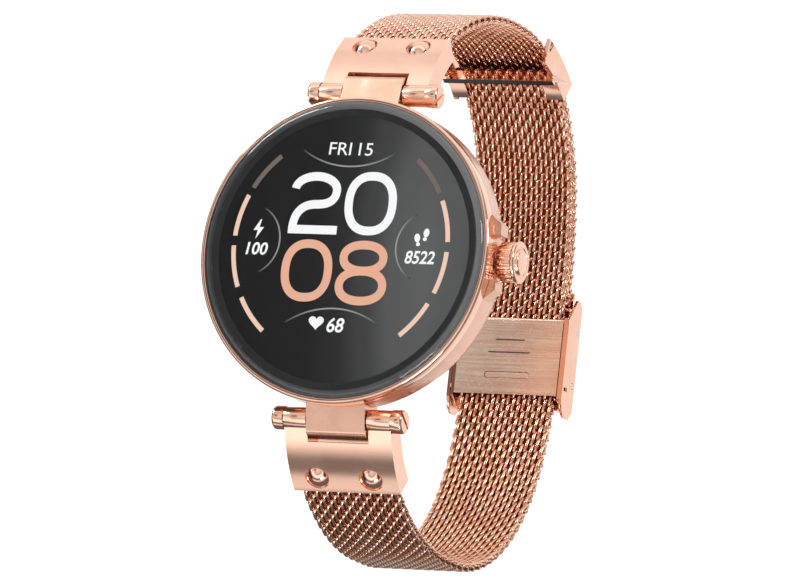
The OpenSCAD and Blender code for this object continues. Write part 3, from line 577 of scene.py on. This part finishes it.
r_out, r_in = bezel_high.x, glass_high.x + 0.05
z0, z1 = bezel_low.z, bezel_high.z
bezel_profile = (
    corner((r_out - 0.08, z0 + 0.08), (0.08, 0.08), -90, 0, 4)
    + corner((r_out - BEZEL_EDGE[0], z1 - BEZEL_EDGE[1]), BEZEL_EDGE, 0, 90, 9)
    + corner((r_in + 0.05, z1 - 0.05), (0.05, 0.05), 90, 180, 4)
    + [(r_in, z0)])
bezel_profile = [(min(r, r_out), z) for r, z in bezel_profile]
place("bezel_ring_finished", *revolve(bezel_profile), "case", "rose_polished", polished,
    ["bezel_ring"])

MASK_IN_R, MASK_OUT_R = 17.35, 18.28  # black border round the screen, inside the gasket
RIM_IN_R, RIM_OUT_R = 18.3, 19.2  # painted grey reflection of the glass's rim, above the gasket


def flat_ring(inner, outer, low, high):
    """Profile of a thin flat ring."""
    return [(inner, low), (outer, low), (outer, high), (inner, high)]


mask_profile = flat_ring(MASK_IN_R, MASK_OUT_R, screen_high.z + 0.004, glass_low.z - 0.003)
place("glass_mask", *revolve(mask_profile), "case", "black_parts", mask)
rim_profile = flat_ring(RIM_IN_R, RIM_OUT_R, glass_low.z + 0.004, glass_low.z + 0.016)
place("glass_rim_painted_reflection", *revolve(rim_profile), "case", "black_parts", rim_reflection_paint)

dial_x, dial_y = -0.5, 0.5  # middle of the dial's marks, in mm
PAINTED_REFLECTION_AT = (0.0115, -0.001, 0.0099)  # middle of the painted grey reflection on the screen, in metres
screen_piece = nodes["display_panel"]
screen_piece.data.materials.clear()
screen_piece.data.materials.append(screen("Screen with painted reflection", PAINTED_REFLECTION_AT, 0.030))


def prism(name, outlines, z_low, z_high, body, slot, material, bevel=0.0):
    """Upright solids on flat outlines in mm."""
    points, faces, first = [], [], 0
    for outline in outlines:
        n = len(outline)
        points += [np.column_stack([outline, np.full(n, z_low)]),
            np.column_stack([outline, np.full(n, z_high)])]
        k = np.arange(n)
        faces += [first + k[None, ::-1], first + n + k[None, :],
            first + np.stack([k, (k + 1) % n, n + (k + 1) % n, n + k], -1)]
        first += 2 * n
    piece = place(name, np.concatenate(points) * MM, faces, body, slot, material)
    if bevel:
        rounding = piece.modifiers.new("Rounded edges", "BEVEL")
        rounding.width = bevel * MM
        rounding.segments = 2
        rounding.limit_method = "ANGLE"
    return piece


DIAL_LEVEL = screen_high.z + 0.008  # where the lit marks lie, between screen and glass
MARK_THICKNESS = 0.006


def mark(name, outlines, material, glow=None):
    """Flat lit shapes on the screen: each outline is a strip of (left, right) edge points in mm."""
    points, faces, shares, first = [], [], [], 0
    for k, (left, right, closed) in enumerate(outlines):
        edge = np.stack([left, right], 1).reshape(-1, 2)
        low = np.column_stack([edge + (dial_x, dial_y), np.full(len(edge), DIAL_LEVEL)])
        high = low + (0, 0, MARK_THICKNESS)
        n = len(left)
        ring = np.stack([low[0::2], low[1::2], high[1::2], high[0::2]], 1).reshape(-1, 3)
        points.append(ring)
        faces.append(grid_faces(n, 4, first, wrap_rows=closed, wrap_columns=True))
        if not closed:
            last = 4 * n
            faces.append(first + np.array([[0, 1, 2, 3], [last - 1, last - 2, last - 3, last - 4]]))
        if glow is not None:
            shares.append(np.repeat(glow[k], 4))
        first += 4 * n
    piece = place(name, np.concatenate(points) * MM, faces, "case", "black_glass", material,
        smooth=False)
    if glow is not None:
        share = piece.data.attributes.new("glow", "FLOAT", "POINT")
        share.data.foreach_set("value", np.concatenate(shares).astype(np.float32))
    return piece


def arc_band(centre, inner, outer, start, stop, steps):
    """A band between two radii round a centre, from one angle to another in degrees."""
    a = np.radians(np.linspace(start, stop, steps))
    out = np.column_stack([np.cos(a), np.sin(a)])
    return centre + inner * out, centre + outer * out, False


def stroke(points, width, closed=False):
    """A line of even width along points: each is moved to both sides of its mean direction."""
    points = np.asarray(points, float)
    if closed:
        along = np.roll(points, -1, 0) - np.roll(points, 1, 0)
    else:
        along = np.gradient(points, axis=0)
    along /= np.linalg.norm(along, axis=1)[:, None]
    side = np.column_stack([-along[:, 1], along[:, 0]]) * width / 2
    return points - side, points + side, closed


SEGMENT_AT = (39.6, 14.0, -12.3, -39.5)
SEGMENT_SPAN = 21.3
SEGMENT_OUTER, SEGMENT_WIDTH = 15.15, 0.62
bright_bands, dim_bands = [], []
for at in SEGMENT_AT:
    for middle in (at, 180 - at):
        band = arc_band(np.zeros(2), SEGMENT_OUTER - SEGMENT_WIDTH, SEGMENT_OUTER,
            middle - SEGMENT_SPAN / 2, middle + SEGMENT_SPAN / 2, 20)
        (dim_bands if at == SEGMENT_AT[0] else bright_bands).append(band)
mark("dial_segments", bright_bands, pale_light)
mark("dial_segments_unlit", dim_bands, dim_light)

ARC_WIDTH, ARC_STEPS = 0.2, 48
arcs, glows = [], []
for centre, radius, middle, span in (((0, 21.9), 11.6, -90, 34), ((0, -19.8), 11.6, 90, 34),
        ((-13.2, 0.4), 4.7, 0, 62), ((12.45, 0.1), 4.7, 180, 62)):
    arcs.append(arc_band(np.array(centre), radius - ARC_WIDTH / 2, radius + ARC_WIDTH / 2,
        middle - span, middle + span, ARC_STEPS))
    glows.append(np.sin(np.linspace(0, np.pi, ARC_STEPS)) ** 0.8)
mark("dial_arcs", arcs, grey_light, glows)


def loop_stroke(centre, width, height, line, power=2.35, steps=72):
    """A closed stroke along a superellipse of the given outer width and height."""
    t = np.linspace(0, 2 * np.pi, steps, endpoint=False)
    c, s = np.cos(t), np.sin(t)
    x = np.sign(c) * np.abs(c) ** (2 / power) * (width - line) / 2
    y = np.sign(s) * np.abs(s) ** (2 / power) * (height - line) / 2
    return stroke(np.column_stack([x, y]) + centre, line, True)


def curve(*handles, steps=14):
    """A cubic curve through four handles, without its first point."""
    a, b, c, d = (np.array(h, float) for h in handles)
    t = np.linspace(0, 1, steps)[1:, None]
    return (1 - t) ** 3 * a + 3 * (1 - t) ** 2 * t * b + 3 * (1 - t) * t ** 2 * c + t ** 3 * d


def figure_two(width, height, line):
    """The figure 2: an arch, two quarter bends down to the left, and a flat foot."""
    half_w, half_h = (width - line) / 2, (height - line) / 2
    spring = 0.214 * height
    a = np.radians(np.linspace(176, 0, 26))
    arch = np.column_stack([half_w * np.cos(a), spring + (half_h - spring) * np.sin(a)])
    middle = (0.1 * half_w, -0.02 * height)
    left = -half_w + 0.08
    first = curve((half_w, spring), (half_w, spring - 1.35), (0.66 * half_w, middle[1]), middle)
    second = curve(middle, (-0.62 * half_w, middle[1]), (left, -0.17 * height), (left, -half_h))
    foot = np.column_stack([[left - line / 2, half_w + line / 2], [-half_h, -half_h]])
    return [stroke(np.concatenate([arch, first, second]), line), stroke(foot, line)]


def figure_eight(width, height, line):
    """The figure 8: a narrower loop above a wider one, meeting in one stroke at the waist."""
    upper_h, lower_h = height * 0.535, height * 0.595
    return [loop_stroke((0, (height - upper_h) / 2), width * 0.93, upper_h, line, 2.2),
        loop_stroke((0, (lower_h - height) / 2), width, lower_h, line, 2.2)]


def shifted(outlines, centre):
    """The same strokes with their middle at another place."""
    return [(left + centre, right + centre, closed) for left, right, closed in outlines]


LINE = 1.12  # width of the large figures' strokes
mark("dial_hours", shifted(figure_two(6.9, 8.07, LINE), (-4.16, 5.42))
    + [loop_stroke((3.61, 5.54), 7.2, 8.24, LINE)], white_light)
mark("dial_minutes", [loop_stroke((-4.3, -3.38), 7.1, 8.1, LINE)]
    + shifted(figure_eight(7.15, 8.4, LINE), (3.44, -3.49)), rose_light)


def lettering(name, words, centre, width, height, weight, material, lean=0.16):
    """Words set in the built-in letters, made a mesh, then fitted to a width and height in mm."""
    letters = bpy.data.curves.new(name, "FONT")
    letters.body = words
    letters.size = 1.0
    letters.offset = weight
    letters.shear = lean
    letters.space_word = 0.5
    letters.extrude = 0.002
    letters.resolution_u = 4
    source = bpy.data.objects.new(name + "_letters", letters)
    bpy.context.scene.collection.objects.link(source)
    bpy.context.view_layer.update()
    mesh = bpy.data.meshes.new_from_object(source)
    bpy.data.objects.remove(source)
    mesh.name = name
    points = np.zeros(len(mesh.vertices) * 3)
    mesh.vertices.foreach_get("co", points)
    points = points.reshape(-1, 3)
    low, high = points.min(0), points.max(0)
    share = (points - low) / (high - low)
    fitted = np.array([centre[0] + dial_x - width / 2, centre[1] + dial_y - height / 2, DIAL_LEVEL])
    points = (fitted + share * np.array([width, height, MARK_THICKNESS])) * MM
    mesh.vertices.foreach_set("co", points.ravel())
    mesh.update()
    return ride_piece(bpy.data.objects.new(name, mesh), "case", material)


lettering("dial_date", "FRI 15", (0.05, 12.57), 6.07, 1.65, 0.002, white_light, 0.05)
lettering("dial_power", "100", (-11.57, -0.72), 3.05, 1.64, 0.02, white_light)
lettering("dial_steps", "8522", (11.2, -1.24), 4.1, 1.7, 0.02, white_light)
lettering("dial_pulse", "68", (0.57, -10.34), 2.4, 1.92, 0.02, white_light)


def filled(name, outlines, centre, width, height, material):
    """Solid marks from closed outlines, fitted together to a width and height in mm."""
    everything = np.concatenate(outlines)
    low, high = everything.min(0), everything.max(0)
    corner_at = np.array(centre) + (dial_x, dial_y) - np.array([width, height]) / 2
    flat = [corner_at + (o - low) / (high - low) * (width, height) for o in outlines]
    return prism(name, flat, DIAL_LEVEL, DIAL_LEVEL + MARK_THICKNESS, "case", "black_glass", material)


t = np.linspace(0, 2 * np.pi, 60, endpoint=False)
heart = np.column_stack([16 * np.sin(t) ** 3,
    13 * np.cos(t) - 5 * np.cos(2 * t) - 2 * np.cos(3 * t) - np.cos(4 * t)])
filled("dial_heart", [heart[::-1]], (-2.17, -10.2), 2.1, 1.8, white_light)
bolt = np.array([(0.62, 1.0), (0.0, 0.44), (0.42, 0.44), (0.28, 0.0), (1.0, 0.6), (0.56, 0.6),
    (0.74, 1.0)])
filled("dial_bolt", [bolt], (-11.62, 1.82), 1.44, 2.54, white_light)


def oval(x, y, half_w, half_h, lean):
    """An ellipse leaning by an angle in degrees."""
    a = np.linspace(0, 2 * np.pi, 28, endpoint=False)
    c, s = np.cos(np.radians(lean)), np.sin(np.radians(lean))
    u, v = half_w * np.cos(a), half_h * np.sin(a)
    return np.column_stack([x + c * u - s * v, y + s * u + c * v])


filled("dial_footprints", [oval(0.26, 0.40, 0.17, 0.27, 6), oval(0.34, 0.02, 0.12, 0.12, 6),
    oval(0.78, 0.72, 0.17, 0.27, -6), oval(0.72, 0.34, 0.12, 0.12, -6)],
    (11.18, 1.37), 1.99, 2.31, white_light)


# ----------------------------------------------------------------- woven straps

STRAP_R, SLOT_ANGLE = 17.91, 52  # middle of the strap in the bracket, and where it starts
DEPTH, LAYER = 49.15, 1.4  # outer layer's depth, and from layer to layer
STRAP_T = 1.3  # thickness of the mesh
EXIT_ANGLE = 36  # where the strap leaves the bracket's curve
HOOK_Y = 4.4  # where the upper half ends at its hook


def upright_run(upper_r, lower_r, last_r, last_a, depth):
    """Length of the upright side that is left when the bends reach the depth."""
    last = np.radians(last_a)
    start_z = BEND_CENTRE[1] + STRAP_R * np.sin(np.radians(EXIT_ANGLE))
    return (start_z + depth - upper_r * np.sin(np.radians(EXIT_ANGLE))
        - lower_r * np.cos(last) - last_r * (1 - np.cos(last)))


def lay_route(runs):
    """Legs of a route that starts in the bracket.

    A run is (radius, degrees to the right), or (0, length) where it is straight.
    """
    a = np.radians(SLOT_ANGLE)
    point = BEND_CENTRE + STRAP_R * np.array([np.cos(a), np.sin(a)])
    heading, distance, legs = a - np.pi / 2, 0.0, []
    for radius, extent in runs:
        length = radius * np.radians(extent) if radius else extent
        legs.append((distance, length, point, heading, radius))
        if radius:
            centre = point + radius * np.array([np.sin(heading), -np.cos(heading)])
            heading = heading - np.radians(extent)
            point = centre + radius * np.array([-np.sin(heading), np.cos(heading)])
        else:
            point = point + extent * np.array([np.cos(heading), np.sin(heading)])
        distance += length
    return legs, distance, point


def on_route(legs, along, outwards):
    """Y and Z of points at distances along a route and outwards from it."""
    y, z = np.zeros_like(along), np.zeros_like(along)
    for k, (start, length, point, heading, radius) in enumerate(legs):
        here = np.ones(along.shape, bool)
        if k:
            here &= along >= start
        if k < len(legs) - 1:
            here &= along < start + length
        run = along - start
        if radius:
            a = heading - run / radius
            leg_y = point[0] + radius * np.sin(heading) - (radius + outwards) * np.sin(a)
            leg_z = point[1] - radius * np.cos(heading) + (radius + outwards) * np.cos(a)
        else:
            leg_y = point[0] + run * np.cos(heading) - outwards * np.sin(heading)
            leg_z = point[1] + run * np.sin(heading) + outwards * np.cos(heading)
        y[here], z[here] = leg_y[here], leg_z[here]
    return y, z


TOP_BENDS = [(STRAP_R, 16), (37, 36), (0, upright_run(37, 23, 55, 14, DEPTH)), (23, 76), (55, 14)]
BOTTOM_BENDS = [(STRAP_R, 16), (28, 36), (0, upright_run(28, 26, 45, 16, DEPTH - LAYER)),
    (26, 74), (45, 16)]
top_flat_y = lay_route(TOP_BENDS)[2][0]
bottom_flat_y = -lay_route(BOTTOM_BENDS)[2][0]
TOP_ROUTE = lay_route(TOP_BENDS + [(0, top_flat_y - HOOK_Y)])
BOTTOM_ROUTE = lay_route(BOTTOM_BENDS + [(0, top_flat_y - bottom_flat_y), (55 - LAYER, 14),
    (23 - LAYER, 52)])

WIRE_D = 0.5
ROW_PITCH = 0.95  # from one spiral to the next along the strap
TURNS = 9  # of each spiral across the strap
TURN_STEPS = 12
WIRE_SIDES = 6
SHADE_SHEET_T, SHADE_SHEET_INSET = 0.2, 0.8  # the painted shade sheet's thickness, and how far inside each side
LOOP_HALF = 0.98  # half a loop's length along the strap
END_SWING = 0.62  # share of the sideways travel that is in a loop's ends


def woven_wires(route, half_width, thickness):
    """Rows of flattened wire spirals that run across the strap, each hooked through the next.

    A spiral's centre line is a squarish ellipse in (along, outwards), turning as it crosses the
    strap, mostly in its ends, so that its long sides run nearly along the strap; every second row
    is half a turn ahead. The wire is a six-sided tube round that line.
    """
    legs, length = route[:2]
    rows = int((length - 2 * LOOP_HALF - WIRE_D) / ROW_PITCH) + 1
    first = (length - (rows - 1) * ROW_PITCH) / 2
    pitch = (2 * half_width - WIRE_D) / TURNS
    row = np.arange(rows)[:, None]
    travel = np.arange(TURNS * TURN_STEPS + 1) / TURN_STEPS * 2 * np.pi
    turn = travel + np.pi * (row % 2)
    c, s = np.cos(turn), np.sin(turn)
    along = np.sign(c) * np.abs(c) ** 0.85 * LOOP_HALF
    outwards = np.sign(s) * np.abs(s) ** 0.6 * (thickness - WIRE_D) / 2
    swing = END_SWING * np.sin(2 * turn) / 2
    x = -half_width + WIRE_D / 2 + (travel + swing) / (2 * np.pi) * pitch
    line = np.stack([x, along + first + row * ROW_PITCH, outwards], -1)
    axis = np.stack([x, first + row * ROW_PITCH + 0 * x, 0 * x], -1)
    tangent = np.gradient(line, axis=1)
    tangent /= np.linalg.norm(tangent, axis=-1, keepdims=True)
    radial = line - axis
    radial -= (radial * tangent).sum(-1, keepdims=True) * tangent
    radial /= np.linalg.norm(radial, axis=-1, keepdims=True)
    across = np.cross(tangent, radial)
    a = np.arange(WIRE_SIDES) / WIRE_SIDES * 2 * np.pi
    ring = (np.cos(a)[:, None] * radial[:, :, None] + np.sin(a)[:, None] * across[:, :, None])
    tube = line[:, :, None] + ring * WIRE_D / 2
    y, z = on_route(legs, tube[..., 1], tube[..., 2])
    points = np.stack([tube[..., 0], y, z], -1).reshape(-1, 3) * MM
    steps = len(travel)
    one = grid_faces(steps, WIRE_SIDES, wrap_columns=True)
    starts = (np.arange(rows) * steps * WIRE_SIDES)[:, None]
    sides = (starts[:, :, None] + one).reshape(-1, 4)
    k = np.arange(WIRE_SIDES)
    caps = np.concatenate([starts + k[::-1], starts + (steps - 1) * WIRE_SIDES + k])
    return points, [sides, caps]


def painted_shade_band(route, half_width, thickness, steps=260):
    """Painted shade for the weave's dark inside: a thin dark band on a route's middle, 0.3 short of its
    ends.
    """
    legs, length = route[:2]
    along = np.linspace(0.3, length - 0.3, steps)[:, None] + np.zeros(4)
    outwards = np.array([-1, -1, 1, 1]) * thickness / 2 + 0 * along
    x = np.array([-1, 1, 1, -1]) * half_width + 0 * along
    y, z = on_route(legs, along, outwards)
    points = np.stack([x, y, z], -1).reshape(-1, 3) * MM
    ends = np.array([[0, 1, 2, 3], [4 * steps - 1, 4 * steps - 2, 4 * steps - 3, 4 * steps - 4]])
    return points, [grid_faces(steps, 4, wrap_columns=True), ends]


def mirrored(points, face_sets):
    """The same shape on the other side of the X-Z plane, turned right side out."""
    return points * (1, -1, 1), [f[:, ::-1] for f in face_sets]


strap_half_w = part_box("strap_top")[1].x / MM
place("strap_top_weave", *woven_wires(TOP_ROUTE, strap_half_w, STRAP_T), "strap_top_half",
    "rose_mesh", wire, ["strap_top"], sharp=ALL_SMOOTH)
place("strap_top_painted_shade", *painted_shade_band(TOP_ROUTE, strap_half_w - SHADE_SHEET_INSET, SHADE_SHEET_T), "strap_top_half",
    "rose_mesh", painted_shade_sheet)
place("strap_bottom_weave", *mirrored(*woven_wires(BOTTOM_ROUTE, strap_half_w, STRAP_T)),
    "strap_bottom_half", "rose_mesh", wire, ["strap_bottom"], sharp=ALL_SMOOTH)
place("strap_bottom_painted_shade", *mirrored(*painted_shade_band(BOTTOM_ROUTE, strap_half_w - SHADE_SHEET_INSET, SHADE_SHEET_T)),
    "strap_bottom_half", "rose_mesh", painted_shade_sheet)


# ------------------------------------------------------- details of the clasp

plate_low, plate_high = (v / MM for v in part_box("lock_plate"))
SLOT_FROM_END, SLOT_L, SLOT_W = 2.6, 6.5, 0.9
SLOT_GAP = 0.14  # play of the tab in its slot, both sides together
LINE_WIDTH = 0.2
ENGRAVED_LINES = ((-0.55, 4.2), (-2.25, 6.0))  # place along Y, and length


def bar_outline(x, y, length, width, steps=9):
    """A bar with round ends, seen from above."""
    a = np.linspace(-np.pi / 2, np.pi / 2, steps)
    right = np.column_stack([(length - width) / 2 + np.cos(a) * width / 2, np.sin(a) * width / 2])
    return np.concatenate([right, -right]) + (x, y)


slot_y = plate_low.y + SLOT_FROM_END
tab = bar_outline(0, slot_y, SLOT_L - SLOT_GAP, SLOT_W - SLOT_GAP)
prism("lock_plate_tab", [tab], plate_high.z - 0.45, plate_high.z - 0.05, "lock_plate",
    "rose_brushed", brushed, 0.05)
lines = [bar_outline(0, y, length, LINE_WIDTH) for y, length in ENGRAVED_LINES]
prism("lock_plate_lines", lines, plate_high.z - 0.02, plate_high.z + 0.004, "lock_plate",
    "rose_brushed", engraved)


# ------------------------------------------------------------- end of the crown

PEG_LENGTH, PEG_R = 0.9, 1.2  # of the peg that holds the crown's end in its knob


def crown_end():
    """Rim, groove and domed button of the crown's end with its peg, turned about the crown's axis.

    The button's height at radius r is rise - 0.085 r^2.
    """
    low, high = (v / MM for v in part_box("crown_cap"))
    axis_z, radius = (low.z + high.z) / 2, (high.z - low.z) / 2
    face = low.x + PEG_LENGTH
    rise = high.x - face
    button = np.linspace(1.45, 0.1, 10)
    profile = ([(0, -PEG_LENGTH), (PEG_R, -PEG_LENGTH), (PEG_R, 0), (radius - 0.06, 0), (radius, 0.06)]
        + corner((radius - 0.3, 0.16), (0.3, 0.26), 0, 90, 7) + [(radius - 0.5, 0.42)]
        + corner((radius - 0.62, 0.34), (0.12, 0.08), 60, 180, 4)[1:]
        + [(1.86, 0.27), (1.72, 0.27)] + corner((1.45, 0.36), (0.2, 0.26), 10, 80, 5)
        + [(r, rise - 0.085 * r * r) for r in button] + [(0, rise)])
    points, faces = turned_solid(profile, 96)
    points = points[:, [2, 0, 1]] + np.array([face, 0, axis_z]) * MM
    return points, faces


place("crown_cap_finished", *crown_end(), "crown", "rose_polished", polished, ["crown_cap"])


# ------------------------------------------------------- floor, light, camera

low, high = (Vector(v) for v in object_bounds())
floor_z = low.z - 0.0001
FLOOR = 3.0  # metres from the middle to the floor's sides
floor_mesh = bpy.data.meshes.new("floor")
floor_mesh.from_pydata([(x * FLOOR, y * FLOOR, floor_z) for x, y in ((-1, -1), (1, -1), (1, 1), (-1, 1))],
    [], [(0, 1, 2, 3)])
floor = bpy.data.objects.new("floor", floor_mesh)
bpy.context.scene.collection.objects.link(floor)


GLOW_MIDDLE = (0.015, 0.020)  # of the floor's bright part, in metres
NORTH_SHARE, SOUTH_SHARE = 0.3, 1.3  # what a metre counts for, north and south
GLOW_FROM, GLOW_TO = 0.066, 0.100  # where that part starts to fade and has gone


def floor_finish():
    """Pale paper that is bright to the eye.

    In reflections it is bright only near the watch and away to the north (+Y).
    """
    material = bpy.data.materials.new("Pale floor")
    material.use_nodes = True
    tree = material.node_tree
    tree.nodes.clear()
    seen = put(tree, "ShaderNodeLightPath").outputs["Is Camera Ray"]
    diffuse = put(tree, "ShaderNodeBsdfDiffuse", {"Color": (0.10, 0.10, 0.10, 1)})
    spot = put(tree, "ShaderNodeTexCoord").outputs["Object"]
    parts = put(tree, "ShaderNodeSeparateXYZ", {0: spot})
    ahead = math(tree, "SUBTRACT", parts.outputs["Y"], GLOW_MIDDLE[1])
    ahead = math(tree, "MAXIMUM", math(tree, "MULTIPLY", ahead, NORTH_SHARE),
        math(tree, "MULTIPLY", ahead, -SOUTH_SHARE))
    sideways = math(tree, "SUBTRACT", parts.outputs["X"], GLOW_MIDDLE[0])
    offset = put(tree, "ShaderNodeCombineXYZ", {"X": sideways, "Y": ahead}).outputs[0]
    apart = put(tree, "ShaderNodeVectorMath", {0: offset}, operation="LENGTH").outputs["Value"]
    near = remap(tree, apart, GLOW_FROM, GLOW_TO, 1.0, 0.0, smooth=True)
    heading = put(tree, "ShaderNodeVectorMath", {0: spot}, operation="NORMALIZE").outputs[0]
    heading = put(tree, "ShaderNodeSeparateXYZ", {0: heading}).outputs["Y"]
    northern = remap(tree, heading, 0.60, 0.85, smooth=True)
    bounce = remap(tree, math(tree, "MAXIMUM", near, northern), 0.0, 1.0, 0.05, 0.95)
    hidden = math(tree, "MULTIPLY", bounce, math(tree, "SUBTRACT", 1.0, seen))
    lift = math(tree, "MULTIPLY_ADD", seen, 1.05, hidden)
    glow = put(tree, "ShaderNodeEmission", {"Color": (1, 1, 1, 1), "Strength": lift})
    both = put(tree, "ShaderNodeAddShader", {0: diffuse.outputs[0], 1: glow.outputs[0]})
    put(tree, "ShaderNodeOutputMaterial", {"Surface": both.outputs[0]})
    return material


floor_mesh.materials.append(floor_finish())
floor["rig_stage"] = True

MIRROR_OF_CAMERA = (-0.4014, 0.1696, 0.9001)  # where the flat glass sends the front view
world = bpy.data.worlds.new("Studio")
world.use_nodes = True
sky = world.node_tree
sky.nodes.clear()
direction = put(sky, "ShaderNodeTexCoord").outputs["Generated"]
parts = put(sky, "ShaderNodeSeparateXYZ", {0: direction})
height = remap(sky, parts.outputs["Z"], -1.0, 1.0)
north = ramp(sky, height, [(0.0, 0.75), (0.49, 0.75), (0.505, 0.95), (0.60, 1.05), (0.70, 1.35),
    (0.775, 1.40), (0.815, 0.72), (0.93, 0.70), (1.0, 0.95)])
south = ramp(sky, height, [(0.0, 0.12), (0.49, 0.12), (0.505, 1.05), (0.60, 0.92),
    (0.645, 0.24), (0.725, 0.22), (0.775, 0.85), (0.82, 1.55), (0.895, 1.50), (0.925, 0.60),
    (0.97, 0.70), (1.0, 0.95)])
side = remap(sky, parts.outputs["Y"], -0.12, 0.12, smooth=True)
bands = blend_colours(sky, side, south, north)
to_the_left = remap(sky, parts.outputs["X"], -0.60, -0.82, smooth=True)
below = remap(sky, parts.outputs["Z"], 0.36, 0.46, 1.0, 0.0, smooth=True)
left_card = math(sky, "MULTIPLY", to_the_left, below)
bands = blend_colours(sky, left_card, bands, (0.06, 0.055, 0.05))
to_the_right = remap(sky, parts.outputs["X"], 0.62, 0.74, smooth=True)
above = remap(sky, parts.outputs["Z"], 0.14, 0.20, smooth=True)
right_card = math(sky, "MULTIPLY", to_the_right, above)
bands = blend_colours(sky, right_card, bands, (0.07, 0.06, 0.055))
towards = put(sky, "ShaderNodeVectorMath", {0: direction, 1: MIRROR_OF_CAMERA},
    operation="DOT_PRODUCT").outputs["Value"]
flag = remap(sky, towards, 0.9910, 0.9960, smooth=True)
bands = blend_colours(sky, flag, bands, (0.12, 0.12, 0.12))
strength = put(sky, "ShaderNodeBackground", {"Color": bands, "Strength": 1.0})
put(sky, "ShaderNodeOutputWorld", {"Surface": strength.outputs[0]})
bpy.context.scene.world = world


def softbox(name, at, size, power, target=(0, 0, -0.015)):
    """A rectangular area light that looks at the watch."""
    light = bpy.data.lights.new(name, "AREA")
    light.shape = "RECTANGLE"
    light.size, light.size_y = size
    light.energy = power
    lamp = bpy.data.objects.new(name, light)
    bpy.context.scene.collection.objects.link(lamp)
    lamp.location = at
    lamp.rotation_euler = (Vector(target) - Vector(at)).to_track_quat("-Z", "Y").to_euler()


softbox("key", (-0.42, 0.38, 0.34), (0.22, 0.10), 1.6)
softbox("fill", (0.30, -0.55, 0.26), (0.30, 0.10), 1.4)
softbox("edge", (0.55, 0.22, 0.12), (0.12, 0.20), 0.8)

RIGHT = Vector((0.91540, 0.10705, -0.38806))
UP = Vector((-0.03055, 0.97969, 0.19820))
BACK = Vector((0.40140, -0.16957, 0.90007))
AIM = Vector((0, 0, 0.0102))
DISTANCE = 1.189
ASIDE = 0.00632 * RIGHT - 0.00562 * UP
camera_data = bpy.data.cameras.new("camera")
camera_data.lens = 427.5
camera_data.sensor_width = 36
camera_data.clip_start, camera_data.clip_end = 0.05, 20
camera = bpy.data.objects.new("camera", camera_data)
bpy.context.scene.collection.objects.link(camera)
turn = Matrix((RIGHT, UP, BACK)).transposed().to_4x4()
camera.matrix_world = Matrix.Translation(AIM + DISTANCE * BACK + ASIDE) @ turn
bpy.context.scene.camera = camera
bpy.context.scene.view_settings.view_transform = "Standard"
